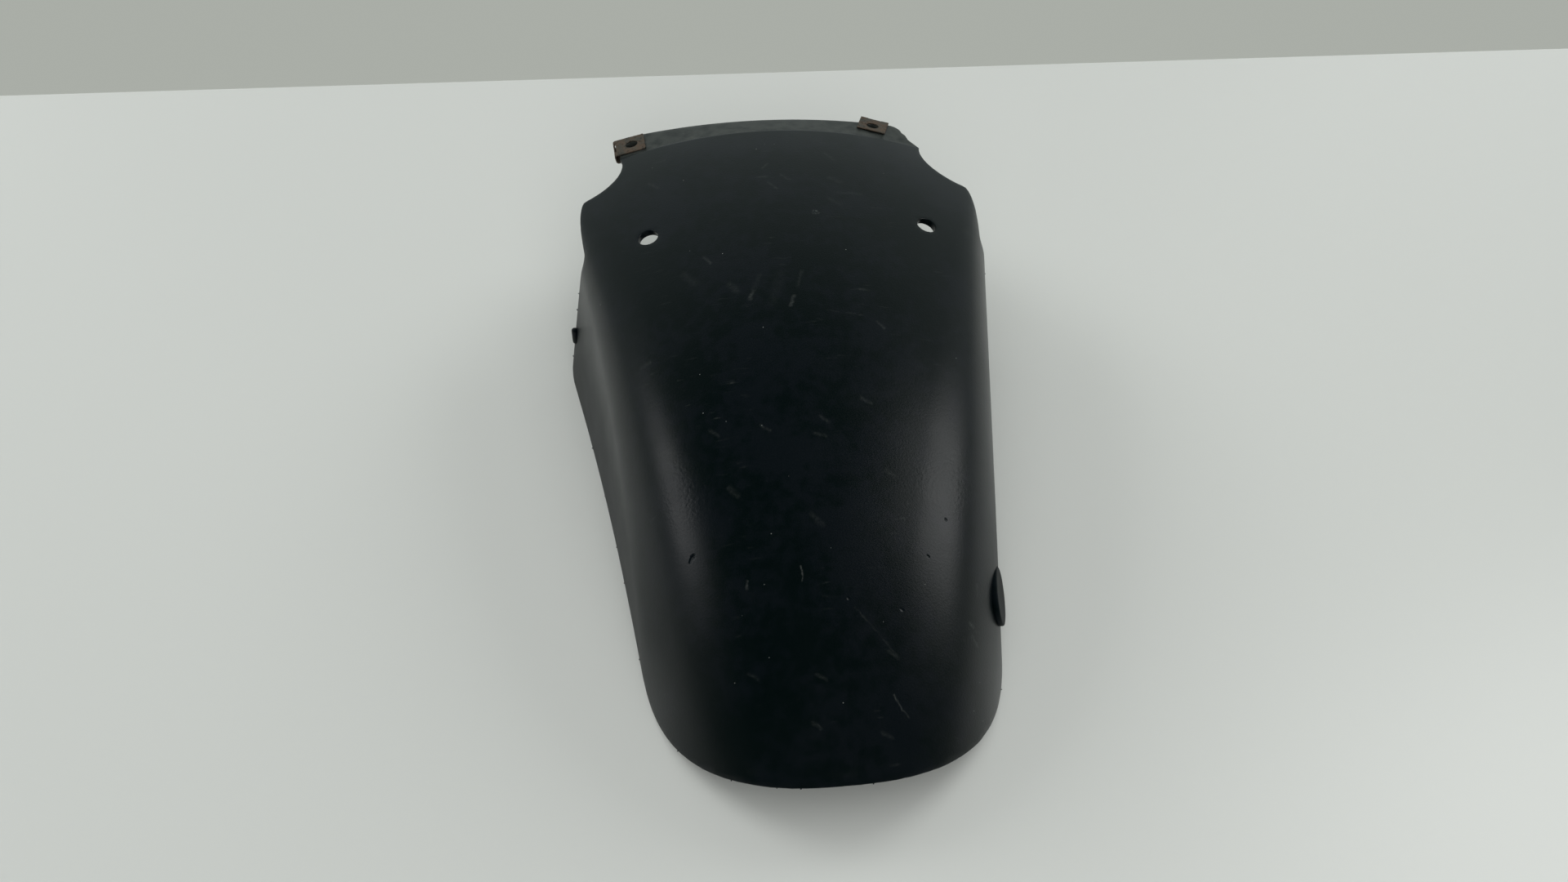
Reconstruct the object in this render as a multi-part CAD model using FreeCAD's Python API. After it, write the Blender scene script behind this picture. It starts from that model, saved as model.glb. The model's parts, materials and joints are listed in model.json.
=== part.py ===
import FreeCAD, Part
import math
import os

# Rear section of a motorcycle front fender, lying convex side up on its wall edges.
# X is across the fender, Y runs from the rounded near end to the joining flange, Z is up.

# Crown line: an arc over the wheel, measured from the near rim to the crease of the flange
crown_line_r = 332.0
crest_height = 88.0
crest_from_rim = 200.5
crown_line_length = 314.0

# Cross-section: crown arc, shoulder arc and drafted wall, from the near rim to the crease
near_crown_r = 188.0
far_crown_r = 225.0
near_shoulder_r = 70.0
far_shoulder_r = 11.5
near_half_width = 63.5
far_half_width = 99.5
wall_draft = 11.2
wall_t = 3.0
loft_sections = 12
loft_margin = 6.0

# Side view of the edges, measured from the near rim along Y and from the table up
rim_foot_y = 53.0
wall_end_y = 215.0
wall_end_corner_r = 6.0
ear_root_y = 229.0
ear_height = 62.5
ear_root_r = 4.0

# Round cut-outs for the fork legs
fork_spacing = 186.0
fork_from_rim = 287.0
fork_leg_d = 41.0
fork_clearance = 1.5

# Joining flange, stepped down from the crown, flatter at its far edge and drifting to the left
flange_half_width = 69.5
flange_drift = -4.0
flange_length = 18.0
flange_t = 2.5
flange_step = 1.2
flange_bend = 5.0
flange_far_r = 380.0
flange_root = 4.0
flange_corner_r = 6.0

# Bolt holes for the fork brace
bolt_hole_d = 8.5
bolt_hole_spacing = 122.0
bolt_hole_station = 240.5

# Round pad on the right wall
pad_d = 24.0
pad_height = 1.6
pad_root = 2.0
pad_station = 65.0
pad_tilt = 22.0

# Small bead on the far edge of the left wall
bead_d = 3.0
bead_length = 8.0
bead_height = 24.0

# Clip nuts: spring-steel sheet bent into a U, with a threaded collar under the lower leg
clip_width = 14.0
clip_sheet = 1.0
clip_clearance = 0.55
clip_bend_r = 0.8
clip_back = 6.0
clip_reach = 7.5
clip_flare_length = 1.7
clip_flare_rise = 0.8
clip_window = 6.5
clip_hole_d = 6.0
clip_thread_d = 5.0
clip_collar_d = 8.0
clip_collar_height = 2.5
right_clip_from_side = 14.5
right_clip_turn = 18.0
left_clip_from_crease = 9.5

X_AXIS = FreeCAD.Vector(1, 0, 0)
Z_AXIS = FreeCAD.Vector(0, 0, 1)
arc_centre_z = crest_height - crown_line_r
rim_slope = math.asin(crest_from_rim / crown_line_r)
draft = math.radians(wall_draft)


def slope_at(station):
    """Slope of the crown line at a distance along it from the near rim"""
    return rim_slope - station / crown_line_r


def place(x, drop, station):
    """Point at x across and at a drop below the crown line, in the radial plane of the station"""
    slope = slope_at(station)
    radius = crown_line_r - drop
    y = crest_from_rim - radius * math.sin(slope)
    z = arc_centre_z + radius * math.cos(slope)
    return FreeCAD.Vector(x, y, z)


def section_sizes(station):
    """Crown radius, shoulder radius and half width of the section at the station"""
    share = station / crown_line_length
    crown_r = near_crown_r + (far_crown_r - near_crown_r) * share
    shoulder_r = near_shoulder_r + (far_shoulder_r - near_shoulder_r) * share
    half_width = near_half_width + (far_half_width - near_half_width) * share ** 2
    return crown_r, shoulder_r, half_width


def shoulder_centre(station):
    """Centre, as x and drop, of the shoulder arc that touches both the crown arc and the wall line"""
    crown_r, shoulder_r, half_width = section_sizes(station)
    lean = math.tan(draft)
    start = half_width - shoulder_r / math.cos(draft)
    a = 1 + lean ** 2
    b = 2 * (start * lean - crown_r)
    c = start ** 2 + crown_r ** 2 - (crown_r - shoulder_r) ** 2
    drop = (-b - math.sqrt(b ** 2 - 4 * a * c)) / (2 * a)
    return start + lean * drop, drop


def section_wire(station, inset, depth):
    """Closed section of the channel, moved inwards by the inset, down to the depth"""
    crown_r, shoulder_r, half_width = section_sizes(station)
    centre_x, centre_drop = shoulder_centre(station)
    arc_r = shoulder_r - inset
    crown_angle = math.atan2(crown_r - centre_drop, centre_x)
    middle_angle = (crown_angle + draft) / 2

    def on_shoulder(angle, side):
        x = side * (centre_x + arc_r * math.cos(angle))
        return place(x, centre_drop - arc_r * math.sin(angle), station)

    foot_x = half_width - inset / math.cos(draft) + depth * math.tan(draft)
    right_foot = place(foot_x, depth, station)
    left_foot = place(-foot_x, depth, station)
    top = place(0, inset, station)
    edges = [
        Part.LineSegment(right_foot, on_shoulder(draft, 1)),
        Part.Arc(on_shoulder(draft, 1), on_shoulder(middle_angle, 1), on_shoulder(crown_angle, 1)),
        Part.Arc(on_shoulder(crown_angle, 1), top, on_shoulder(crown_angle, -1)),
        Part.Arc(on_shoulder(crown_angle, -1), on_shoulder(middle_angle, -1), on_shoulder(draft, -1)),
        Part.LineSegment(on_shoulder(draft, -1), left_foot),
        Part.LineSegment(left_foot, right_foot),
    ]
    return Part.Wire([edge.toShape() for edge in edges])


def channel(inset, depth, first, last):
    """Solid loft of the section between two stations"""
    step = (last - first) / (loft_sections - 1)
    wires = [section_wire(first + i * step, inset, depth) for i in range(loft_sections)]
    return Part.makeLoft(wires, True)


def rounded_face(corners):
    """Flat face inside straight edges, each corner given as a point and a radius, zero for a sharp one"""
    edges = []
    ends = []
    for i, (point, radius) in enumerate(corners):
        before = (corners[i - 1][0] - point).normalize()
        after = (corners[(i + 1) % len(corners)][0] - point).normalize()
        if radius == 0:
            ends.append((point, point))
            continue
        half_turn = before.getAngle(after) / 2
        reach = radius / math.tan(half_turn)
        centre = point + (before + after).normalize() * (radius / math.sin(half_turn))
        middle = centre + (point - centre).normalize() * radius
        start = point + before * reach
        end = point + after * reach
        edges.append(Part.Arc(start, middle, end).toShape())
        ends.append((start, end))
    for i in range(len(ends)):
        edges.append(Part.LineSegment(ends[i - 1][1], ends[i][0]).toShape())
    return Part.Face(Part.Wire(Part.sortEdges(edges)[0]))


def side_profile():
    """Prism across X that keeps what lies above the wall edges and the ears and behind the near rim"""
    half = far_half_width + crest_height
    top = crest_height + wall_t
    far = place(0, 0, crown_line_length).y + flange_length
    corners = [
        (FreeCAD.Vector(-half, 0, 0), 0),
        (FreeCAD.Vector(-half, wall_end_y, 0), wall_end_corner_r),
        (FreeCAD.Vector(-half, ear_root_y, ear_height), ear_root_r),
        (FreeCAD.Vector(-half, fork_from_rim, ear_height), 0),
        (FreeCAD.Vector(-half, fork_from_rim, 0), 0),
        (FreeCAD.Vector(-half, far, 0), 0),
        (FreeCAD.Vector(-half, far, top), 0),
        (FreeCAD.Vector(-half, 0, top), 0),
    ]
    return rounded_face(corners).extrude(X_AXIS * 2 * half)


def rim_cutter():
    """Prism across X that cuts the near end along an arc which runs tangent into the table"""
    half = far_half_width + crest_height
    rim_z = place(0, 0, 0).z
    arc_r = (rim_foot_y ** 2 + rim_z ** 2) / (2 * rim_z)
    foot = FreeCAD.Vector(-half, rim_foot_y, 0)
    rim = FreeCAD.Vector(-half, 0, rim_z)
    centre = FreeCAD.Vector(-half, rim_foot_y, arc_r)
    middle = centre + ((foot + rim) / 2 - centre).normalize() * arc_r
    corner = FreeCAD.Vector(-half, 0, 0)
    edges = [
        Part.Arc(foot, middle, rim),
        Part.LineSegment(rim, corner),
        Part.LineSegment(corner, foot),
    ]
    face = Part.Face(Part.Wire([edge.toShape() for edge in edges]))
    return face.extrude(X_AXIS * 2 * half)


def fork_cutter(side):
    """Upright space around the fork leg on one side, open outwards beyond the leg's middle"""
    foot = FreeCAD.Vector(side * fork_spacing / 2, fork_from_rim, 0)
    leg = Part.makeCylinder(fork_leg_d / 2 + fork_clearance, 2 * crest_height, foot, Z_AXIS)
    reach = far_half_width + crest_height
    corner = foot if side > 0 else foot - X_AXIS * reach
    return leg.fuse(Part.makeBox(reach, crown_line_length, 2 * crest_height, corner))


def flange_directions():
    """Crease point on the flange's top, the flange's direction outwards and its normal"""
    slope = slope_at(crown_line_length) - math.radians(flange_bend)
    along = FreeCAD.Vector(0, math.cos(slope), math.sin(slope))
    normal = FreeCAD.Vector(0, -math.sin(slope), math.cos(slope))
    return place(0, 0, crown_line_length) - normal * flange_step, along, normal


def flange_seat(x, outwards):
    """Point on the flange's top and the normal there"""
    crease, along, normal = flange_directions()
    length = flange_length + flange_root
    share = (outwards + flange_root) / length
    root_depth = math.sqrt(far_crown_r ** 2 - x ** 2)
    far_depth = math.sqrt(flange_far_r ** 2 - x ** 2)
    root_drop = far_crown_r - root_depth
    far_drop = flange_far_r - far_depth
    drop = root_drop + (far_drop - root_drop) * share
    lean_across = x / root_depth + (x / far_depth - x / root_depth) * share
    lean_outwards = (far_drop - root_drop) / length
    point = crease + X_AXIS * x + along * outwards - normal * drop
    return point, (normal + X_AXIS * lean_across + along * lean_outwards).normalize()


def flange_side(side, outwards):
    """Place across of one side edge of the flange"""
    share = (outwards + flange_root) / (flange_length + flange_root)
    return flange_drift * share + side * flange_half_width


def flange_band(outwards, crown_r):
    """Curved strip section of the flange, square to its direction"""
    crease, along, normal = flange_directions()
    axis_point = crease + along * outwards - normal * crown_r

    def on_arc(x, radius):
        return axis_point + X_AXIS * x + normal * math.sqrt(radius ** 2 - x ** 2)

    left = flange_side(-1, outwards)
    right = flange_side(1, outwards)
    middle = (left + right) / 2
    outer = [on_arc(x, crown_r) for x in (left, middle, right)]
    inner = [on_arc(x, crown_r - flange_t) for x in (right, middle, left)]
    edges = [
        Part.Arc(*outer),
        Part.LineSegment(outer[2], inner[0]),
        Part.Arc(*inner),
        Part.LineSegment(inner[2], outer[0]),
    ]
    return Part.Wire([edge.toShape() for edge in edges])


def flange_corner_cutter(side):
    """Prism that rounds one far corner of the flange"""
    crease, along, normal = flange_directions()
    r = flange_corner_r
    base = crease - normal * flange_half_width

    def at(x, outwards):
        across = flange_side(side, flange_length + outwards) + side * x
        return base + X_AXIS * across + along * (flange_length + outwards)

    middle = r * (math.sqrt(0.5) - 1)
    edges = [
        Part.Arc(at(0, -r), at(middle, middle), at(-r, 0)),
        Part.LineSegment(at(-r, 0), at(-r, r)),
        Part.LineSegment(at(-r, r), at(r, r)),
        Part.LineSegment(at(r, r), at(r, -r)),
        Part.LineSegment(at(r, -r), at(0, -r)),
    ]
    face = Part.Face(Part.Wire([edge.toShape() for edge in edges]))
    return face.extrude(normal * 2 * flange_half_width)


def flange():
    """Strip beyond the crease, with rounded far corners and the screw holes of the clip nuts"""
    crease, along, normal = flange_directions()
    bands = [flange_band(-flange_root, far_crown_r), flange_band(flange_length, flange_far_r)]
    strip = Part.makeLoft(bands, True, True).cut([flange_corner_cutter(-1), flange_corner_cutter(1)])
    for point, over_edge, hole_normal in clip_frames().values():
        start = point - hole_normal * 2 * flange_t
        strip = strip.cut(Part.makeCylinder(clip_hole_d / 2, 4 * flange_t, start, hole_normal))
    return strip


def clip_frames():
    """Seat of each clip nut: hole point on the flange, direction over the edge and the normal"""
    along = flange_directions()[1]
    seat_reach = clip_reach - clip_clearance
    turn = math.radians(right_clip_turn)
    far_inset = seat_reach * math.cos(turn) - clip_width / 2 * math.sin(turn)
    right_clip_x = flange_side(1, flange_length) - right_clip_from_side
    right_point, right_normal = flange_seat(right_clip_x, flange_length - far_inset)
    right_across = along.cross(right_normal).normalize()
    over_far_edge = right_normal.cross(right_across) * math.cos(turn) + right_across * math.sin(turn)
    left_side = flange_side(-1, left_clip_from_crease)
    side_lean = math.asin(-left_side / far_crown_r)
    side_turn = math.atan2(flange_drift, flange_length + flange_root)
    side_run = along * math.cos(side_turn) + X_AXIS * math.sin(side_turn)
    side_inset = (seat_reach - flange_t * math.sin(side_lean)) * math.cos(side_lean) / math.cos(side_turn)
    left_point, left_normal = flange_seat(left_side + side_inset, left_clip_from_crease)
    over_left_edge = left_normal.cross(side_run).normalize()
    return {
        "clip_nut_right": (right_point, over_far_edge, right_normal),
        "clip_nut_left": (left_point, over_left_edge, left_normal),
    }


def bolt_holes():
    """Upright bolt holes through the crown"""
    seat = place(0, 0, bolt_hole_station)
    holes = []
    for side in (-1, 1):
        foot = FreeCAD.Vector(side * bolt_hole_spacing / 2, seat.y, 0)
        holes.append(Part.makeCylinder(bolt_hole_d / 2, 2 * crest_height, foot, Z_AXIS))
    return holes


def wall_pad():
    """Round raised pad on the right shoulder, just above the wall"""
    centre_x, centre_drop = shoulder_centre(pad_station)
    shoulder_r = section_sizes(pad_station)[1]
    tilt = math.radians(pad_tilt)
    centre = place(centre_x, centre_drop, pad_station)
    surface_x = centre_x + shoulder_r * math.cos(tilt)
    surface = place(surface_x, centre_drop - shoulder_r * math.sin(tilt), pad_station)
    outwards = (surface - centre).normalize()
    return Part.makeCylinder(pad_d / 2, pad_root + pad_height, surface - outwards * pad_root, outwards)


def edge_bead():
    """Short round bead along the far edge of the left wall"""
    low = FreeCAD.Vector(0, wall_end_y, 0)
    high = FreeCAD.Vector(0, ear_root_y, ear_height)
    along = (high - low).normalize()
    middle = low + along * (bead_height / along.z)
    angle = math.atan2(crest_from_rim - middle.y, middle.z - arc_centre_z)
    drop = crown_line_r - math.hypot(middle.y - crest_from_rim, middle.z - arc_centre_z)
    half_width = section_sizes((rim_slope - angle) * crown_line_r)[2]
    middle.x = -(half_width + drop * math.tan(draft))
    start = middle - along * (bead_length / 2) - FreeCAD.Vector(0, bead_d / 2, 0)
    return Part.makeCylinder(bead_d / 2, bead_length, start, along)


def fender_shell():
    """The whole moulding"""
    depth = crest_height + crown_line_r * (1 - math.cos(rim_slope))
    outer = channel(0, depth, -loft_margin, crown_line_length)
    inner = channel(wall_t, depth + loft_margin, -2 * loft_margin, crown_line_length + loft_margin)
    shell = outer.cut(inner).common(side_profile())
    shell = shell.cut([rim_cutter(), fork_cutter(-1), fork_cutter(1)])
    shell = shell.fuse([flange(), wall_pad(), edge_bead()])
    return shell.cut(bolt_holes()).removeSplitter()


def clip_nut(point, over_edge, normal):
    """U-shaped clip nut around the flange's edge, its screw hole over the seat point"""
    width_axis = normal.cross(over_edge)

    def at(u, w):
        return point + over_edge * u + normal * w - width_axis * (clip_width / 2)

    top = clip_clearance
    bottom = -flange_t - clip_clearance
    front = clip_reach
    flare = -clip_back - clip_flare_length
    outer = rounded_face([
        (at(-clip_back, bottom - clip_sheet), 0),
        (at(front + clip_sheet, bottom - clip_sheet), clip_bend_r + clip_sheet),
        (at(front + clip_sheet, top + clip_sheet), clip_bend_r + clip_sheet),
        (at(-clip_back, top + clip_sheet), 0),
    ])
    inner = rounded_face([
        (at(-clip_back, bottom), 0),
        (at(front, bottom), clip_bend_r),
        (at(front, top), clip_bend_r),
        (at(-clip_back, top), 0),
    ])
    lead = rounded_face([
        (at(-clip_back, top), 0),
        (at(-clip_back, top + clip_sheet), 0),
        (at(flare, top + clip_sheet + clip_flare_rise), 0),
        (at(flare, top + clip_flare_rise), 0),
    ])
    sheet = outer.cut(inner).fuse(lead).extrude(width_axis * clip_width)
    collar_base = point + normal * (bottom - clip_sheet - clip_collar_height)
    collar = Part.makeCylinder(clip_collar_d / 2, clip_collar_height, collar_base, normal)
    thread = Part.makeCylinder(clip_thread_d / 2, clip_collar_height + clip_sheet, collar_base, normal)
    screw_hole = Part.makeCylinder(clip_hole_d / 2, 2 * clip_sheet, point, normal)
    window_foot = front - clip_bend_r
    window = rounded_face([
        (at(window_foot, bottom - 2 * clip_sheet), 0),
        (at(window_foot + 2 * clip_back, bottom - 2 * clip_sheet), 0),
        (at(window_foot + 2 * clip_back, top + 2 * clip_sheet), 0),
        (at(window_foot, top + 2 * clip_sheet), 0),
    ]).extrude(width_axis * clip_window)
    window.translate(width_axis * ((clip_width - clip_window) / 2))
    return sheet.fuse(collar).cut([thread, screw_hole, window]).removeSplitter()


def main():
    shapes = {"fender_shell": fender_shell()}
    for name, frame in clip_frames().items():
        shapes[name] = clip_nut(*frame)
    whole = Part.makeCompound(list(shapes.values())).optimalBoundingBox()
    os.makedirs("parts", exist_ok=True)
    for name, shape in shapes.items():
        shape.translate(FreeCAD.Vector(0, -whole.Center.y, 0))
        shape.exportStep("parts/" + name + ".step")
        box = shape.optimalBoundingBox()
        print(name, shape.isValid(), len(shape.Solids), round(shape.Volume), box)


main()
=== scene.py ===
import json
import math
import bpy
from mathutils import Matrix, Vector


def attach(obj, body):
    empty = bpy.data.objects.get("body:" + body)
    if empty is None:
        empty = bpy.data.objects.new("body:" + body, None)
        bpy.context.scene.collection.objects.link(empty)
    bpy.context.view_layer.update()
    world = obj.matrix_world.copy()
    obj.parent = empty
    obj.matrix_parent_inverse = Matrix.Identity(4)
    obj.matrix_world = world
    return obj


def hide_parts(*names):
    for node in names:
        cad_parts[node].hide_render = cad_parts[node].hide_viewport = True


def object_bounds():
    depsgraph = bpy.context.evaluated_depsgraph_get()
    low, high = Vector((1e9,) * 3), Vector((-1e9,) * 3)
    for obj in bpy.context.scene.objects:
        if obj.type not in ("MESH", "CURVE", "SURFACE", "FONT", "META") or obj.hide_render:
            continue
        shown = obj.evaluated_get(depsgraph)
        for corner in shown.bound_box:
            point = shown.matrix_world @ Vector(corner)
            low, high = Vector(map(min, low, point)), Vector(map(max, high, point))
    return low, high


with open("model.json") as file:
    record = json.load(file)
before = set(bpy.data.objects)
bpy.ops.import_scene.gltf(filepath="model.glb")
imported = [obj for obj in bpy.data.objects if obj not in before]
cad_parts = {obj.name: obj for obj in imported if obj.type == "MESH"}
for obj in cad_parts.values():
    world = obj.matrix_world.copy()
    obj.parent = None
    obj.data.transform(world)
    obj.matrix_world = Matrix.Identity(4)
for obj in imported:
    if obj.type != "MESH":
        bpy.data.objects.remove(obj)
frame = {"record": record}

from types import SimpleNamespace

import bmesh
import bpy
from bpy.props import FloatProperty, FloatVectorProperty, IntProperty, PointerProperty
from mathutils import Matrix, Vector, kdtree, noise
from mathutils.geometry import delaunay_2d_cdt

bl_info = {
    "name": "Front fender section",
    "version": (1, 0, 0),
    "blender": (4, 5, 0),
    "location": "View3D > Sidebar > Fender",
    "description": "Finishes, wear and studio for a moulded motorcycle front fender section",
    "category": "Object",
}

CAD_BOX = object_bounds()

# Cut edges of the moulding, measured from the near rim along the table and from the table up, in metres
RIM_Y = CAD_BOX[0][1]
RIM_FOOT, RIM_Z = 0.053, 0.02061
RIM_R = (RIM_FOOT ** 2 + RIM_Z ** 2) / (2 * RIM_Z)
WALL_END, EAR_ROOT, EAR_HEIGHT = 0.215, 0.229, 0.0625
WALL_CORNER_R, EAR_ROOT_R = 0.006, 0.004
FORK_X, FORK_FROM_RIM, FORK_R = 0.093, 0.287, 0.022
FLANGE_HALF_WIDTH, FLANGE_DRIFT, FLANGE_CORNER_R = 0.0695, -0.004, 0.006

# Holes, from the record's mounts
MOUNTS = {m["name"]: m for m in frame["record"]["mounts"]}
BOLTS = MOUNTS["fork_brace_holes"]
BOLT_X = BOLTS["dims"]["spacing_x_mm"] / 2000
BOLT_Y = BOLTS["pos_m"][1]
BOLT_R = BOLTS["dims"]["hole_r_mm"] / 1000

# Screw holes in the flange: radius, and the rise from a mount's point to the flange's top
SCREW_R, SCREW_RISE = 0.003, 0.0048

# Clip nuts: the screw's mount, the direction square over the flange's edge, and how far the clip is turned
CLIPS = {
    "clip_nut_left": (MOUNTS["front_section_screw_left"], (-0.94951, -0.2707, -0.15861), math.radians(-10)),
    "clip_nut_right": (MOUNTS["front_section_screw_right"], (0.32268, 0.89756, -0.30043), 0.0),
}

# Round pad on the right wall: middle of its face, axis and wear, and its outline as radius and height
PAD_FACE, PAD_AXIS, PAD_WORN = (0.07288, -0.08787, 0.02152), (0.9272, -0.1638, 0.3369), 0.0005
PAD_OUTLINE = [(0.0110, -0.0034), (0.0120, -0.0034), (0.0120, -0.0007), (0.01192, -0.0003),
               (0.0117, -0.00008), (0.0113, 0.0), (0.0080, -0.00008), (0.0030, -0.00012)]

# Bead on the left wall's far edge: its ends and radius, and a rounded end as shares of the radius
BEAD, BEAD_R = ((-0.09703, 0.05875, 0.02010), (-0.09703, 0.06050, 0.02790)), 0.0015
BEAD_END = [(0.35, 0.0), (0.75, 0.12), (0.95, 0.4), (1.0, 0.8)]

# Points of the shell's flat sheet: steps and gaps along its edge, in its net and round the dents, in metres
RIM_RUN, RIM_STEPS = 0.04, 120
EDGE_STEP, EDGE_SPACING, EDGE_TURN = 0.00025, 0.0022, math.radians(9)
EDGE_GAP, LAST_GAP = 0.0009, 0.0007
FLANGE_SIDE, FLANGE_SPACING, FLANGE_MARGIN = (0.006, 0.008, 0.010), 0.0025, 0.006
FIRST_ROW, LAST_ROW, NET_STEP = 0.0012, 0.001, 0.0022
CREASE_STEP, CREASE_BAND, INSIDE_BAND = 0.00055, 0.0035, 0.004
DENT_STEP, DENT_STEPS, DENT_STOPS, DENT_GAP = 0.0003, 8, 8, 0.00027
BORDER_GAP, NET_GAP = 0.0016, 0.0008
BOLT_POINTS, SCREW_POINTS = 26, 20
QUARTER_TURN = [math.radians(15 * i) for i in range(7)]

# Uneven edge: waves and nicks to the metre with their depth, where nicks start, and the calmer flange
EDGE_WAVES, WAVE_DEPTH = 260, 0.00014
EDGE_NICKS, NICK_FROM, NICK_DEPTH = 95, 0.52, 0.0016
CALM_BAND, CALM_SHARE = 0.02, 0.4

# The crease as the finish sees it: its place along Y in the middle, how it bows back to the sides, its blur
CREASE_Y, CREASE_BOW, CREASE_BLUR = 0.1383, 0.667, (0.0012, 0.0010)

# Spots where the skin is pitted like leather: middle and radius in metres
PITTED = (((0.0485, -0.0600, 0.0640), 0.020), ((-0.0520, -0.0550, 0.0630), 0.018))

# Scuffs: how far they stray and the width above which they fade, in metres, and the share of the width shown
SCUFF_DRIFT, SCUFF_FAINT_FROM, SCUFF_SPREAD = 0.0016, 0.0009, 0.75

# How much of the rubs and scuffs breaks up into crumbs
CRUMB_SHARE = 0.72

# Faint rubs all over the moulding: their turn, how finely they are drawn out along each axis, and strength
RUB_TURN, RUB_SCALE, RUB_STRENGTH = math.radians(38), (110.0, 640.0, 110.0), 0.42

# The moulding's mottle, specks of dust, and the depth of the pits against the fine grain
SPECK_SHARE, DUST_SHARE, PIT_DEPTH = 0.45, 0.14, 3.0

# What makes the moulding rougher, and its shine with what the walls and the pad lose of it
CLOUD_ROUGH, FLANGE_ROUGH, DULL_ROUGH, SCUFF_ROUGH = 0.10, 0.08, 0.24, 0.2
SHINE, WALL_SHINE_LOSS, PAD_SHINE_LOSS = 0.36, 0.10, 0.16

# Grain of the rust in metres, roughness of the table, and the room's light from the near side
RUST_GRAIN, TABLE_ROUGH, NEAR_SIDE_LIGHT = 0.0009, 0.34, 0.03

# Nibs of flash: lift above the table in nib sizes, and the ends of their turns and scales
NIB_LIFT, NIB_TURNS, NIB_SCALES = 1.5, ((0.0,) * 3, (6.28,) * 3), ((0.5,) * 3, (1.5, 1.0, 1.0))

# Clip strip: points along a leg and across half the width, room round its edges, and the window in bend radii
LEG_STEPS, STRIP_STEPS, STRIP_GAP, WINDOW_BENDS = 14, 10, 0.0004, 1.3

# Collar: where it starts in the sheet as a share of its thickness, its turns of thread and their depth
COLLAR_ROOT, THREADS, THREAD_DEPTH = 0.7, 5, 0.0003

# Kinds of tree input for the kinds of number settings
SOCKET_KINDS = {"FLOAT": "NodeSocketFloat", "INT": "NodeSocketInt"}

# Soft lamps: name, place, target, width and height in metres, watts, and whether only the gloss shows them
LAMPS = [
    ("left_panel", (-0.95, -0.04, 0.44), (0, -0.05, 0.04), 0.42, 0.36, 1.15, True),
    ("right_panel", (0.80, -0.10, 0.62), (0, -0.05, 0.04), 0.5, 0.74, 3.1, True),
    ("far_left_fill", (-1.1, 0.9, 0.85), (0, 0, 0), 0.7, 0.7, 8.6, False),
    ("far_right_fill", (1.1, 0.9, 0.85), (0, 0, 0), 0.7, 0.7, 8.2, False),
    ("left_fill", (-1.2, -0.1, 0.70), (0, 0, 0), 0.7, 0.7, 0.4, False),
    ("right_fill", (1.2, -0.1, 0.70), (0, 0, 0), 0.7, 0.7, 0.4, False),
    ("near_fill", (0, -1.2, 0.8), (0, 0, 0), 0.9, 0.6, 5.6, False),
    ("ceiling_fill", (0, -0.1, 1.6), (0, 0, 0), 2.2, 2.2, 13.0, False),
]

# Small gouges and pits pressed into the crown: start, end, width and depth in metres
DENTS = [
    ((-0.0510, -0.0781, 0.0551), (-0.0518, -0.0785, 0.0545), 0.0010, 0.00040),
    ((-0.0524, -0.0790, 0.0537), (-0.0527, -0.0797, 0.0532), 0.0007, 0.00030),
    ((0.0457, -0.0730, 0.0607), (0.0460, -0.0734, 0.0604), 0.0006, 0.00022),
    ((0.0366, -0.0870, 0.0581), (0.0369, -0.0873, 0.0578), 0.0006, 0.00022),
    ((0.0045, -0.1011, 0.0559), (0.0046, -0.1012, 0.0558), 0.0006, 0.00035),
    ((0.0242, -0.1053, 0.0522), (0.0247, -0.1057, 0.0519), 0.0007, 0.00018),
]

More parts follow.
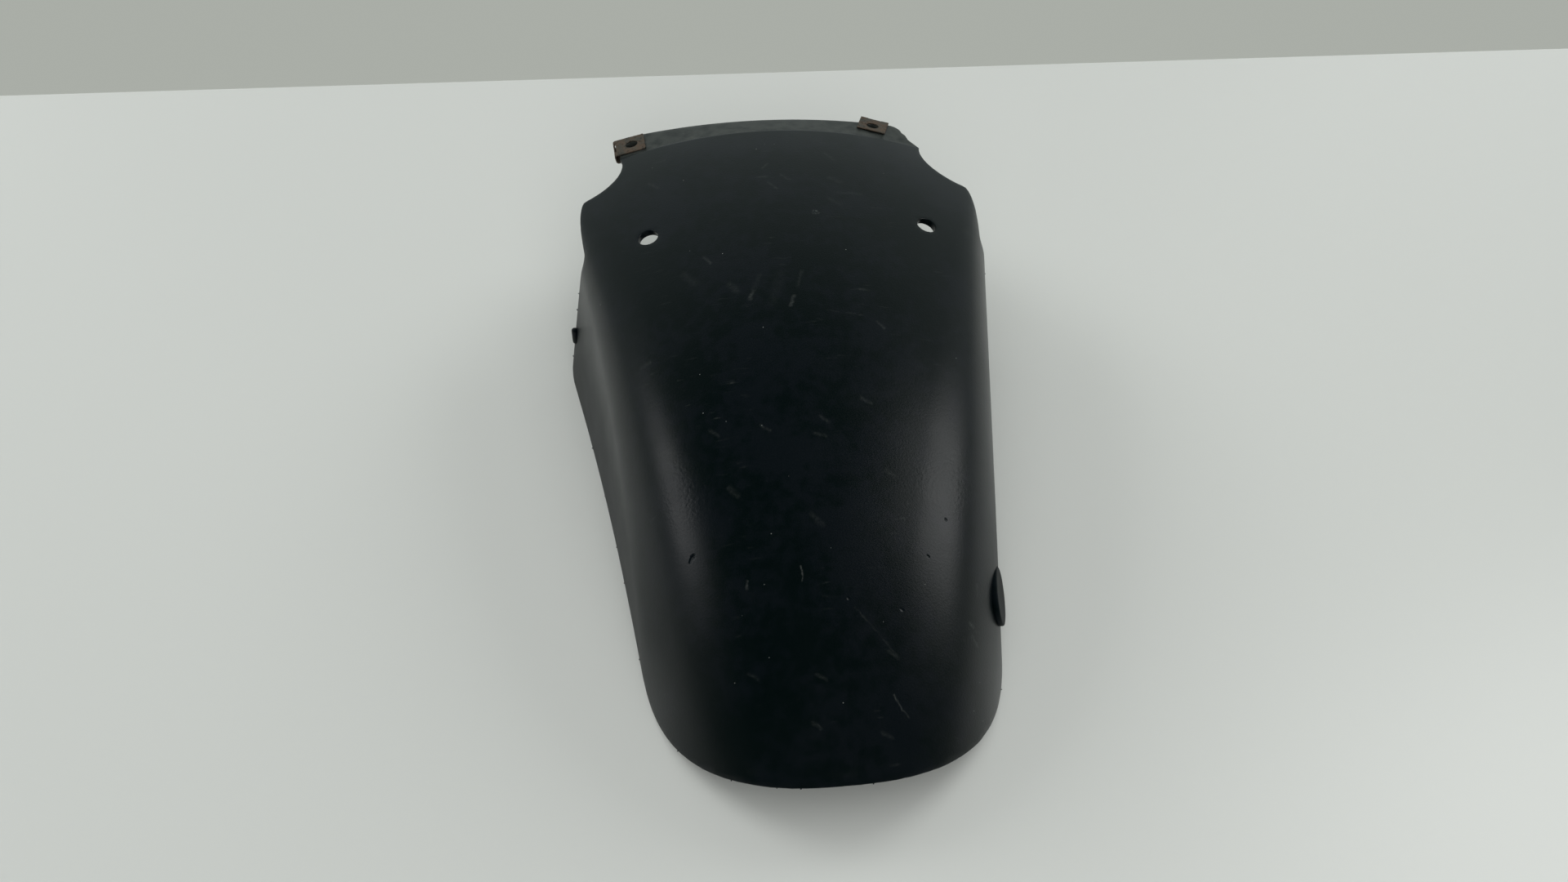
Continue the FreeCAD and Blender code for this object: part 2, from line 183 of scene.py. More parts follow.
# Light scuffs on the crown: start and end on the surface in metres, width in metres, strength
SCUFFS = [
    ((-0.0164, 0.0332, 0.0873), (-0.0205, 0.0235, 0.0865), 0.0022, 0.22),
    ((-0.0196, 0.0255, 0.0866), (-0.0215, 0.0210, 0.0863), 0.0016, 0.75),
    ((-0.0080, 0.0330, 0.0877), (-0.0123, 0.0184, 0.0868), 0.0042, 0.24),
    ((0.0012, 0.0338, 0.0878), (-0.0016, 0.0262, 0.0875), 0.0018, 0.24),
    ((-0.0036, 0.0208, 0.0872), (-0.0054, 0.0160, 0.0869), 0.0016, 0.70),
    ((-0.0383, 0.0473, 0.0844), (-0.0356, 0.0430, 0.0849), 0.0014, 0.50),
    ((-0.0287, 0.0298, 0.0858), (-0.0263, 0.0264, 0.0860), 0.0034, 0.60),
    ((-0.0469, 0.0392, 0.0828), (-0.0426, 0.0336, 0.0836), 0.0036, 0.40),
    ((0.0090, 0.0131, 0.0865), (0.0235, 0.0104, 0.0852), 0.0007, 0.26),
    ((0.0289, 0.0074, 0.0842), (0.0316, 0.0044, 0.0835), 0.0012, 0.40),
    ((-0.0084, 0.1025, 0.0821), (-0.0054, 0.1061, 0.0815), 0.0012, 0.45),
    ((-0.0067, 0.0912, 0.0841), (-0.0036, 0.0860, 0.0849), 0.0016, 0.40),
    ((-0.0006, 0.0964, 0.0833), (0.0029, 0.0923, 0.0840), 0.0016, 0.34),
    ((0.0208, 0.0943, 0.0827), (0.0255, 0.0908, 0.0828), 0.0028, 0.34),
    ((0.0232, 0.0827, 0.0841), (0.0339, 0.0826, 0.0827), 0.0018, 0.30),
    ((0.0186, 0.0784, 0.0851), (0.0231, 0.0746, 0.0850), 0.0026, 0.30),
    ((0.0219, 0.1144, 0.0787), (0.0253, 0.1089, 0.0795), 0.0020, 0.34),
    ((-0.0590, 0.1044, 0.0737), (-0.0551, 0.0993, 0.0757), 0.0016, 0.40),
    ((-0.0669, -0.0004, 0.0719), (-0.0631, 0.0005, 0.0746), 0.0018, 0.36),
    ((0.0804, 0.0684, 0.0709), (0.0851, 0.0678, 0.0671), 0.0026, 0.40),
    ((-0.0362, -0.0581, 0.0693), (-0.0334, -0.0613, 0.0688), 0.0024, 0.36),
    ((-0.0064, -0.0713, 0.0682), (-0.0030, -0.0751, 0.0669), 0.0024, 0.34),
    ((-0.0122, -0.0889, 0.0610), (-0.0118, -0.0939, 0.0589), 0.0007, 0.75),
    ((-0.0325, -0.0916, 0.0572), (-0.0324, -0.0940, 0.0561), 0.0010, 0.70),
    ((0.0188, -0.1325, 0.0378), (0.0204, -0.1354, 0.0357), 0.0007, 0.55),
    ((0.0204, -0.1354, 0.0357), (0.0239, -0.1396, 0.0321), 0.0007, 0.50),
    ((0.0574, -0.0925, 0.0417), (0.0575, -0.0955, 0.0398), 0.0016, 0.60),
    ((0.0524, -0.1062, 0.0383), (0.0542, -0.1073, 0.0359), 0.0014, 0.75),
    ((0.0535, -0.1106, 0.0344), (0.0556, -0.1130, 0.0305), 0.0018, 0.65),
    ((-0.0416, -0.0349, 0.0747), (-0.0386, -0.0375, 0.0747), 0.0014, 0.34),
    ((-0.0225, -0.0358, 0.0776), (-0.0193, -0.0382, 0.0774), 0.0014, 0.34),
    ((0.0009, -0.0344, 0.0792), (0.0039, -0.0366, 0.0787), 0.0014, 0.34),
    ((0.0179, -0.0272, 0.0800), (0.0215, -0.0296, 0.0792), 0.0016, 0.36),
    ((0.0239, -0.0559, 0.0719), (0.0268, -0.0584, 0.0708), 0.0018, 0.30),
    ((-0.0020, -0.0411, 0.0776), (0.0020, -0.0420, 0.0773), 0.0016, 0.32),
    ((-0.0094, -0.1245, 0.0434), (-0.0060, -0.1264, 0.0424), 0.0014, 0.34),
    ((-0.0118, -0.1392, 0.0342), (-0.0093, -0.1412, 0.0331), 0.0016, 0.38),
    ((0.0132, -0.1439, 0.0310), (0.0168, -0.1458, 0.0293), 0.0016, 0.34),
    ((0.0067, -0.1041, 0.0544), (0.0206, -0.1197, 0.0451), 0.0008, 0.16),
    ((0.0103, 0.0696, 0.0866), (0.0108, 0.0701, 0.0865), 0.0010, 1.00),
    ((0.0119, 0.0699, 0.0865), (0.0121, 0.0692, 0.0866), 0.0009, 1.00),
    ((0.0110, 0.0683, 0.0866), (0.0115, 0.0679, 0.0867), 0.0010, 1.00),
    ((0.0098, 0.0682, 0.0867), (0.0101, 0.0677, 0.0867), 0.0008, 0.90),
    ((0.0126, 0.0679, 0.0866), (0.0129, 0.0684, 0.0866), 0.0008, 0.90),
    ((-0.0339, -0.1212, 0.0407), (-0.0308, -0.1233, 0.0406), 0.0016, 0.34),
    ((0.0179, -0.1187, 0.0460), (0.0211, -0.1209, 0.0444), 0.0016, 0.30),
    ((-0.0358, -0.1500, 0.0193), (0.0022, -0.1558, 0.0231), 0.0030, 0.14),
    ((-0.0880, 0.0780, 0.0645), (-0.0876, 0.0745, 0.0655), 0.0040, 0.30),
]


def colour_input(name, description, default):
    return FloatVectorProperty(name=name, description=description, subtype="COLOR", size=3, min=0.0, max=1.0,
                               default=default)


def length_input(name, description, default):
    return FloatProperty(name=name, description=description, unit="LENGTH", min=0.0, default=default)


def share_input(name, description, default):
    return FloatProperty(name=name, description=description, subtype="FACTOR", min=0.0, max=1.0,
                         default=default)


def angle_input(name, description, degrees):
    return FloatProperty(name=name, description=description, subtype="ANGLE", unit="ROTATION",
                         default=math.radians(degrees))


class ShellSizes(bpy.types.PropertyGroup):
    crown_line_r: length_input("Crown line radius", "Radius of the crown line over the wheel", 0.332)
    crest_height: length_input("Crest height", "Height of the crest above the table", 0.088)
    crest_from_rim: length_input("Crest from rim", "From the near rim to the crest, along the table", 0.2005)
    crown_line: length_input("Crown line length", "From the near rim to the crease of the flange", 0.314)
    near_crown_r: length_input("Near crown radius", "Radius across the crown at the near rim", 0.188)
    far_crown_r: length_input("Far crown radius", "Radius across the crown at the crease", 0.225)
    near_shoulder_r: length_input("Near shoulder radius", "Radius of the shoulders at the near rim", 0.070)
    far_shoulder_r: length_input("Far shoulder radius", "Radius of the shoulders at the crease", 0.0115)
    near_half_width: length_input("Near half width", "Half the width at the near rim", 0.0635)
    far_half_width: length_input("Far half width", "Half the width at the crease", 0.0995)
    draft: angle_input("Wall draft", "How far the walls lean outwards", 11.2)
    wall: length_input("Wall thickness", "Thickness of the moulding", 0.003)
    flange_length: length_input("Flange length", "From the crease to the far edge of the flange", 0.018)
    flange_wall: length_input("Flange thickness", "Thickness of the joining flange", 0.0025)
    flange_step: length_input("Flange step", "How far the flange lies below the crown", 0.0012)
    flange_bend: angle_input("Flange bend", "How far the flange turns down from the crown line", 5.0)
    flange_far_r: length_input("Flange far radius", "Radius across the flange at its far edge", 0.380)
    flange_root: length_input("Flange root", "How far the flange reaches back under the crown", 0.004)
    crease_roll: length_input("Crease roll", "Half the length of the rolled step into the flange", 0.0015)
    edge_round: length_input("Edge rounding", "Rounding of the moulding's edges", 0.0004)


class FlashSizes(bpy.types.PropertyGroup):
    nib_size: length_input("Nib size", "Radius of a nib of moulding flash", 0.00035)
    nib_spacing: length_input("Nib spacing", "Distance between possible nibs along the edge", 0.009)
    nib_share: share_input("Nib share", "Share of the places that carry a nib", 0.34)
    top: length_input("Top", "Height above which the edges are clean", 0.060)
    seed: IntProperty(name="Seed", description="Seed of the nibs' places and sizes", min=0, default=7)


class ClipSizes(bpy.types.PropertyGroup):
    width: length_input("Width", "Width of the folded strip", 0.014)
    sheet: length_input("Sheet", "Thickness of the spring steel", 0.0006)
    seat_gap: length_input("Seat gap", "Room between the upper leg and the flange", 0.00018)
    under_gap: length_input("Under gap", "Room between the flange and the lower leg", 0.0007)
    back: length_input("Back", "From the screw to the start of the lead-in edge", 0.0052)
    reach: length_input("Reach", "From the screw to the inside of the bend", 0.0084)
    lead: length_input("Lead-in", "Length of the raised lead-in edge", 0.0012)
    lead_rise: length_input("Lead-in rise", "Height of the raised lead-in edge", 0.0005)
    bend_r: length_input("Bend radius", "Radius of the two bends", 0.0010)
    window: length_input("Window", "Width of the opening in the bend", 0.0065)
    corner_r: length_input("Corner radius", "Rounding of the strip's corners", 0.0012)
    hole_r: length_input("Hole radius", "Radius of the screw hole in the upper leg", 0.0030)
    thread_r: length_input("Thread radius", "Core radius of the thread in the lower leg", 0.0025)
    collar_r: length_input("Collar radius", "Radius of the threaded collar", 0.0040)
    collar_height: length_input("Collar height", "How far the collar stands below the lower leg", 0.0025)
    edge_round: length_input("Edge rounding", "Rounding of the strip's edges", 0.00018)


class PlasticFinish(bpy.types.PropertyGroup):
    black: colour_input("Black", "Colour of the clean moulding", (0.0005, 0.0034, 0.0036))
    faded: colour_input("Faded", "Colour where the plastic has greyed", (0.0024, 0.0050, 0.0068))
    # Dust and painted sheen: a lighter colour on the joining flange, partly dust and partly painted light for
    # the sheen of the bent flange
    dust_and_sheen: colour_input("Dusty", "Colour of the joining flange under dust", (0.0420, 0.0480, 0.0430))
    scuff: colour_input("Scuff", "Colour of scuffs and scratches", (0.070, 0.080, 0.074))
    dust: colour_input("Dust", "Colour of dust specks", (0.30, 0.32, 0.30))
    satin: share_input("Satin", "Roughness of the clean surface", 0.34)
    grain: length_input("Grain", "Size of the fine pits in the surface", 0.0007)


class RustFinish(bpy.types.PropertyGroup):
    steel: colour_input("Steel", "Colour of the bare spring steel", (0.094, 0.090, 0.073))
    rust: colour_input("Rust", "Colour of the surface rust", (0.090, 0.066, 0.046))
    crust: colour_input("Crust", "Colour of the thick dark rust", (0.022, 0.013, 0.009))


class StudioLayout(bpy.types.PropertyGroup):
    camera_place: FloatVectorProperty(
        name="Camera place", description="Where the camera stands", subtype="TRANSLATION", unit="LENGTH",
        size=3, default=(-0.05975, -0.29724, 0.44333))
    camera_turn: FloatVectorProperty(
        name="Camera turn", description="How the camera is turned", subtype="EULER", unit="ROTATION",
        size=3, default=tuple(math.radians(a) for a in (35.068, -2.752, -6.262)))
    lens: FloatProperty(name="Lens", description="Focal length on a 36 mm sensor",
                        subtype="DISTANCE_CAMERA", default=27.0)
    table: colour_input("Table", "Colour of the table top", (0.69, 0.715, 0.68))
    room: colour_input("Room", "Colour of the room behind the table", (0.40, 0.42, 0.385))
    sky: colour_input("Sky", "Colour of the soft light that the room sends back", (0.320, 0.352, 0.345))
    table_edge: length_input("Table edge", "From the origin to the far edge of the table", 0.275)
    table_side: length_input("Table side", "From the origin to the other edges of the table", 1.5)


class FenderSettings(bpy.types.PropertyGroup):
    shell: PointerProperty(type=ShellSizes)
    flash: PointerProperty(type=FlashSizes)
    clip: PointerProperty(type=ClipSizes)
    plastic: PointerProperty(type=PlasticFinish)
    rust: PointerProperty(type=RustFinish)
    studio: PointerProperty(type=StudioLayout)


class Wire:
    """A value in a node tree that takes part in plain formulas"""

    def __init__(self, tree, socket):
        self.tree = tree
        self.socket = socket

    def math(self, operation, *others, flipped=False):
        node = self.tree.nodes.new("ShaderNodeMath")
        node.operation = operation
        values = [self, *others]
        if flipped:
            values.reverse()
        for socket, value in zip(node.inputs, values):
            if isinstance(value, Wire):
                self.tree.links.new(value.socket, socket)
            else:
                socket.default_value = value
        return Wire(self.tree, node.outputs[0])

    def __add__(self, other):
        return self.math("ADD", other)

    def __radd__(self, other):
        return self.math("ADD", other)

    def __sub__(self, other):
        return self.math("SUBTRACT", other)

    def __rsub__(self, other):
        return self.math("SUBTRACT", other, flipped=True)

    def __mul__(self, other):
        return self.math("MULTIPLY", other)

    def __rmul__(self, other):
        return self.math("MULTIPLY", other)

    def __truediv__(self, other):
        return self.math("DIVIDE", other)

    def __rtruediv__(self, other):
        return self.math("DIVIDE", other, flipped=True)

    def __neg__(self):
        return self.math("MULTIPLY", -1.0)


class NodeMaths:
    """Functions that the shell's rule needs, for wires"""
    sin = staticmethod(lambda a: a.math("SINE"))
    cos = staticmethod(lambda a: a.math("COSINE"))
    tan = staticmethod(lambda a: a.math("TANGENT"))
    asin = staticmethod(lambda a: a.math("ARCSINE"))
    atan2 = staticmethod(lambda a, b: a.math("ARCTAN2", b))
    sqrt = staticmethod(lambda a: a.math("SQRT"))
    size = staticmethod(lambda a: a.math("ABSOLUTE"))
    side = staticmethod(lambda a: a.math("SIGN"))
    least = staticmethod(lambda a, b: a.math("MINIMUM", b))
    most = staticmethod(lambda a, b: a.math("MAXIMUM", b))


class PlainMaths:
    """The same functions for plain numbers"""
    sin, cos, tan, asin, atan2, sqrt = math.sin, math.cos, math.tan, math.asin, math.atan2, math.sqrt
    size = abs
    side = staticmethod(lambda a: math.copysign(1.0, a))
    least, most = min, max


def formed_point(q, s, g, m):
    """Place of the flat sheet's point, q across and s along the crown line, on the formed outer face.

    Works on numbers and on wires: g holds the sizes and m the functions.
    """
    share = m.least(s / g.crown_line, 1.0)
    crown_r = g.near_crown_r + (g.far_crown_r - g.near_crown_r) * share
    shoulder_r = g.near_shoulder_r + (g.far_shoulder_r - g.near_shoulder_r) * share
    half_width = g.near_half_width + (g.far_half_width - g.near_half_width) * share * share

    lean = m.tan(g.draft)
    start = half_width - shoulder_r / m.cos(g.draft)
    a = 1.0 + lean * lean
    b = 2.0 * (start * lean - crown_r)
    c = start * start + crown_r * crown_r - (crown_r - shoulder_r) * (crown_r - shoulder_r)
    centre_drop = (-b - m.sqrt(b * b - 4.0 * a * c)) / (2.0 * a)
    centre_x = start + lean * centre_drop
    shoulder_top = m.atan2(crown_r - centre_drop, centre_x)

    across = m.size(q)
    crown_run = (math.pi / 2 - shoulder_top) * crown_r
    shoulder_run = (shoulder_top - g.draft) * shoulder_r
    on_crown = m.least(across, crown_run) / crown_r
    on_shoulder = shoulder_top - m.least(m.most(across - crown_run, 0.0), shoulder_run) / shoulder_r
    on_wall = m.most(across - crown_run - shoulder_run, 0.0)
    x = (crown_r * m.sin(on_crown) + shoulder_r * (m.cos(on_shoulder) - m.cos(shoulder_top))
         + on_wall * m.sin(g.draft)) * m.side(q)
    drop = (crown_r * (1.0 - m.cos(on_crown)) + shoulder_r * (m.sin(shoulder_top) - m.sin(on_shoulder))
            + on_wall * m.cos(g.draft))

    rim_slope = m.asin(g.crest_from_rim / g.crown_line_r)
    slope = rim_slope - s / g.crown_line_r
    y = g.crest_from_rim - (g.crown_line_r - drop) * m.sin(slope)
    z = g.crest_height - g.crown_line_r + (g.crown_line_r - drop) * m.cos(slope)

    crease_slope = rim_slope - g.crown_line / g.crown_line_r
    turn = crease_slope - g.flange_bend
    out = s - g.crown_line
    flange_share = (out + g.flange_root) / (g.flange_length + g.flange_root)
    root_drop = g.far_crown_r - m.sqrt(m.most(g.far_crown_r * g.far_crown_r - x * x, 0.0))
    far_drop = g.flange_far_r - m.sqrt(m.most(g.flange_far_r * g.flange_far_r - x * x, 0.0))
    below = root_drop + (far_drop - root_drop) * flange_share + g.flange_step
    flange_y = (g.crest_from_rim - g.crown_line_r * m.sin(crease_slope)
                + out * m.cos(turn) + below * m.sin(turn))
    flange_z = (g.crest_height - g.crown_line_r + g.crown_line_r * m.cos(crease_slope)
                + out * m.sin(turn) - below * m.cos(turn))

    t = m.least(m.most((out + g.crease_roll) / (2.0 * g.crease_roll), 0.0), 1.0)
    t = t * t * (3.0 - 2.0 * t)
    return x, RIM_Y + y + (flange_y - y) * t, z + (flange_z - z) * t


def flat_place(x, y, g, rounds=40):
    """Point of the flat sheet that forms to the given place across and along"""
    q, s = x, y - RIM_Y
    for _ in range(rounds):
        px, py, pz = formed_point(q, s, g, PlainMaths)
        q += x - px
        s += y - py
    return q, s


def on_moulding(x, y, z):
    """Whether a place on the formed channel is inside the cut edges of the moulding"""
    y -= RIM_Y
    if z < 0.0:
        return False
    if y < RIM_FOOT and z < RIM_Z and math.hypot(y - RIM_FOOT, z - RIM_R) > RIM_R:
        return False
    along = (EAR_ROOT - WALL_END) / math.hypot(EAR_ROOT - WALL_END, EAR_HEIGHT)
    rise = EAR_HEIGHT / math.hypot(EAR_ROOT - WALL_END, EAR_HEIGHT)
    beyond = (y - WALL_END) * rise - z * along
    if y < FORK_FROM_RIM and z < EAR_HEIGHT and beyond > 0.0:
        dy = EAR_ROOT_R - beyond
        dz = EAR_ROOT_R - (EAR_HEIGHT - z)
        if not (dy > 0.0 and dz > 0.0 and math.hypot(dy, dz) > EAR_ROOT_R):
            return False
    if z < WALL_CORNER_R and beyond > -WALL_CORNER_R:
        if math.hypot(beyond + WALL_CORNER_R, WALL_CORNER_R - z) > WALL_CORNER_R:
            return False
    dx = abs(x) - FORK_X
    dy = y - FORK_FROM_RIM
    return not (math.hypot(dx, dy) < FORK_R or (dx > 0.0 and dy > 0.0))


def edge_across(s, g, step=0.001, halvings=24):
    """How far the flat sheet reaches across at a station"""
    inner = 0.0
    while on_moulding(*formed_point(inner + step, s, g, PlainMaths)):
        inner += step
    outer = inner + step
    for _ in range(halvings):
        middle = (inner + outer) / 2
        if on_moulding(*formed_point(middle, s, g, PlainMaths)):
            inner = middle
        else:
            outer = middle
    return inner


def thinned(points):
    """Points of a dense line that keep its bends and stand no farther apart than the spacing"""
    kept = [points[0]]
    for point, after in zip(points[1:], points[2:]):
        run = point - kept[-1]
        if run.length < EDGE_GAP:
            continue
        if run.length > EDGE_SPACING or run.angle(after - point, 0.0) > EDGE_TURN:
            kept.append(point)
    if (points[-1] - kept[-1]).length < LAST_GAP:
        kept.pop()
    return kept + [points[-1]]


def right_edge(g):
    """Right half of the flat sheet's edge, from the middle of the near rim to the crease"""
    stations = [RIM_RUN * (i / RIM_STEPS) ** 2 for i in range(1, RIM_STEPS)]
    count = int((g.crown_line - RIM_RUN) / EDGE_STEP)
    stations += [RIM_RUN + EDGE_STEP * i for i in range(count)] + [g.crown_line]
    return [Vector((0.0, 0.0))] + [Vector((edge_across(s, g), s)) for s in stations]


def flange_edge(g):
    """Edge of the flange in the flat sheet, from the right end of the crease round to the left one"""
    r = FLANGE_CORNER_R

    def at(x, out):
        return Vector((g.far_crown_r * math.asin(x / g.far_crown_r), g.crown_line + out))

    def side_x(side, out):
        share = (out + g.flange_root) / (g.flange_length + g.flange_root)
        return FLANGE_DRIFT * share + side * FLANGE_HALF_WIDTH

    def corner_centre(side):
        return Vector((side_x(side, g.flange_length) - side * r, g.flange_length - r))

    def side_edge(side):
        centre = corner_centre(side)
        edge = [at(side_x(side, out), out) for out in FLANGE_SIDE]
        for a in QUARTER_TURN:
            edge.append(at(centre.x + side * r * math.cos(a), centre.y + r * math.sin(a)))
        return edge

    start = corner_centre(1).x
    run = start - (side_x(-1, g.flange_length) + r)
    count = round(run / FLANGE_SPACING)
    far = [at(start - run * i / count, g.flange_length) for i in range(1, count)]
    return side_edge(1) + far + side_edge(-1)[::-1]


def circle_points(centre, radius, angles):
    return [(centre[0] + radius * math.cos(a), centre[1] + radius * math.sin(a)) for a in angles]


def ring(centre, radius, count):
    """Points of a full circle"""
    return circle_points(centre, radius, [2 * math.pi * i / count for i in range(count)])


def inside_line(point, line):
    """Whether a flat point lies inside a closed line"""
    inside = False
    for a, b in zip(line, line[1:] + line[:1]):
        if (a.y > point.y) != (b.y > point.y):
            if point.x < a.x + (b.x - a.x) * (point.y - a.y) / (b.y - a.y):
                inside = not inside
    return inside


def ragged_edge(outline, g):
    """The edge with small waves and nicks, calmer at the flange"""
    ragged = []
    for i, point in enumerate(outline):
        run = outline[(i + 1) % len(outline)] - outline[i - 1]
        out = Vector((run.y, -run.x)).normalized()
        wave = noise.noise((point.x * EDGE_WAVES, point.y * EDGE_WAVES, 4.0)) * WAVE_DEPTH
        nick = noise.noise((point.x * EDGE_NICKS, point.y * EDGE_NICKS, 11.0)) - NICK_FROM
        nick = max(0.0, nick) * NICK_DEPTH
        if point.y > g.crown_line - CALM_BAND:
            wave, nick = wave * CALM_SHARE, 0.0
        ragged.append(point + out * (wave + nick))
    return ragged


def dent_points(g):
    """Close points of the flat sheet where the dents are pressed"""
    close = []
    steps = range(-DENT_STEPS, DENT_STEPS + 1)
    for start, end, width, depth in DENTS:
        for k in range(DENT_STOPS + 1):
            x, y = (start[i] + (end[i] - start[i]) * k / DENT_STOPS for i in (0, 1))
            q, s = flat_place(x, y, g)
            for i in steps:
                for j in steps:
                    near = Vector((q + i * DENT_STEP, s + j * DENT_STEP))
                    if (near - Vector((q, s))).length < 2.0 * width:
                        close.append(near)
    return spread(close, DENT_GAP)


def net_rows(g):
    """Stations of the net's rows, close together at the crease"""
    rows, s = [], FIRST_ROW
    while s < g.crown_line + g.flange_length - LAST_ROW:
        rows.append(s)
        s += CREASE_STEP if abs(s - g.crown_line) < CREASE_BAND else NET_STEP
    return rows


def shell_blank(g):
    """The moulding's outer face laid flat: its edge, its holes and an even net of points between"""
    half = thinned(right_edge(g))
    edge = ragged_edge(half + flange_edge(g) + [Vector((-p.x, p.y)) for p in half[:0:-1]], g)
    rings = [ring((side * BOLT_X, BOLT_Y), BOLT_R, BOLT_POINTS) for side in (-1, 1)]
    rings += [ring(clip_seat(name)[0], SCREW_R, SCREW_POINTS) for name in CLIPS]
    holes = [[Vector(flat_place(x, y, g)) for x, y in hole] for hole in rings]
    border = [point for loop in (edge, *holes) for point in loop]
    net = dent_points(g)
    placed = near_finder(border + net)
    for n, s in enumerate(net_rows(g)):
        reach = edge_across(s, g) if s < g.crown_line else FLANGE_HALF_WIDTH + FLANGE_MARGIN
        count = int(reach / NET_STEP) + 1
        for i in range(-count, count + 1):
            point = Vector(((i + 0.5 * (n % 2)) * NET_STEP, s))
            index, gap = placed.find((point.x, point.y, 0.0))[1:]
            if abs(point.x) > reach or gap < (BORDER_GAP if index < len(border) else NET_GAP):
                continue
            if s > g.crown_line - INSIDE_BAND and not inside_line(point, edge):
                continue
            if any(inside_line(point, hole) for hole in holes):
                continue
            net.append(point)
    return cut_sheet("shell_blank", [edge, *holes], net)


def cut_sheet(name, loops, net):
    """Flat mesh inside the first loop and outside the others, with the net's points in between"""
    points, edges = [], []
    for loop in loops:
        first = len(points)
        points += loop
        edges += [(first + i, first + (i + 1) % len(loop)) for i in range(len(loop))]
    border = len(points)
    verts, _, faces = delaunay_2d_cdt(points + net, edges, [], 0, 1e-7)[:3]
    kept = []
    for face in faces:
        if max(face) < border:
            middle = mean_point([verts[i] for i in face])
            if not inside_line(middle, loops[0]) or any(inside_line(middle, loop) for loop in loops[1:]):
                continue
        kept.append(face)
    mesh = bpy.data.meshes.new(name)
    mesh.from_pydata([(v.x, v.y, 0.0) for v in verts], [], kept)
    return mesh


def near_finder(points):
    """Search tree of flat points"""
    finder = kdtree.KDTree(len(points))
    for i, point in enumerate(points):
        finder.insert((point.x, point.y, 0.0), i)
    finder.balance()
    return finder


def mean_point(points):
    return sum(points, Vector((0.0, 0.0))) / len(points)


def clip_seat(name):
    """Seat of a clip nut on the flange's top: screw place, normal and direction over the edge"""
    mount, over, askew = CLIPS[name]
    axis = Vector(mount["axis"])
    return Vector(mount["pos_m"]) + axis * SCREW_RISE, axis, Matrix.Rotation(askew, 3, axis) @ Vector(over)


def spread(points, gap):
    """Points of a list, at most one in each square of the gap's size"""
    kept, taken = [], set()
    for point in points:
        cell = (round(point.x / gap), round(point.y / gap))
        if cell not in taken:
            taken.add(cell)
            kept.append(point)
    return kept


def numbers_of(settings):
    """Number settings of a group by their keys"""
    return {key: prop for key, prop in settings.bl_rna.properties.items() if prop.type in SOCKET_KINDS}


def settings_tree(name, settings):
    """New geometry tree with one named input for each number setting of a group"""
    tree = bpy.data.node_groups.new(name, "GeometryNodeTree")
    tree.interface.new_socket("Geometry", in_out="INPUT", socket_type="NodeSocketGeometry")
    for prop in numbers_of(settings).values():
        socket = tree.interface.new_socket(prop.name, in_out="INPUT", socket_type=SOCKET_KINDS[prop.type])
        socket.description = prop.description
    tree.interface.new_socket("Geometry", in_out="OUTPUT", socket_type="NodeSocketGeometry")
    return tree, tree.nodes.new("NodeGroupInput"), tree.nodes.new("NodeGroupOutput")


def tree_values(tree, settings):
    """Values of a group of settings by the identifiers of the tree's inputs"""
    identifiers = {item.name: item.identifier for item in tree.interface.items_tree if item.in_out == "INPUT"}
    return {identifiers[prop.name]: getattr(settings, key) for key, prop in numbers_of(settings).items()}


def finish_tree(tree, geometry, leave, material):
    """Every tree ends in real geometry with its material"""
    real = tree.nodes.new("GeometryNodeRealizeInstances")
    dress_up = tree.nodes.new("GeometryNodeSetMaterial")
    dress_up.inputs["Material"].default_value = material
    tree.links.new(geometry, real.inputs["Geometry"])
    tree.links.new(real.outputs["Geometry"], dress_up.inputs["Geometry"])
    tree.links.new(dress_up.outputs["Geometry"], leave.inputs["Geometry"])


def shell_tree(material):
    """Geometry nodes that form the flat sheet over the wheel"""
    tree, entry, leave = settings_tree("form_shell", ShellSizes)
    sizes = SimpleNamespace(**{key: Wire(tree, entry.outputs[prop.name])
                               for key, prop in numbers_of(ShellSizes).items()})
    position = tree.nodes.new("GeometryNodeInputPosition")
    split = tree.nodes.new("ShaderNodeSeparateXYZ")
    tree.links.new(position.outputs["Position"], split.inputs["Vector"])
    q, s = (Wire(tree, split.outputs[axis]) for axis in "XY")
    join = tree.nodes.new("ShaderNodeCombineXYZ")
    for socket, value in zip(join.inputs, formed_point(q, s, sizes, NodeMaths)):
        tree.links.new(value.socket, socket)
    form = tree.nodes.new("GeometryNodeSetPosition")
    tree.links.new(entry.outputs["Geometry"], form.inputs["Geometry"])
    tree.links.new(join.outputs["Vector"], form.inputs["Position"])
    finish_tree(tree, form.outputs["Geometry"], leave, material)
    return tree


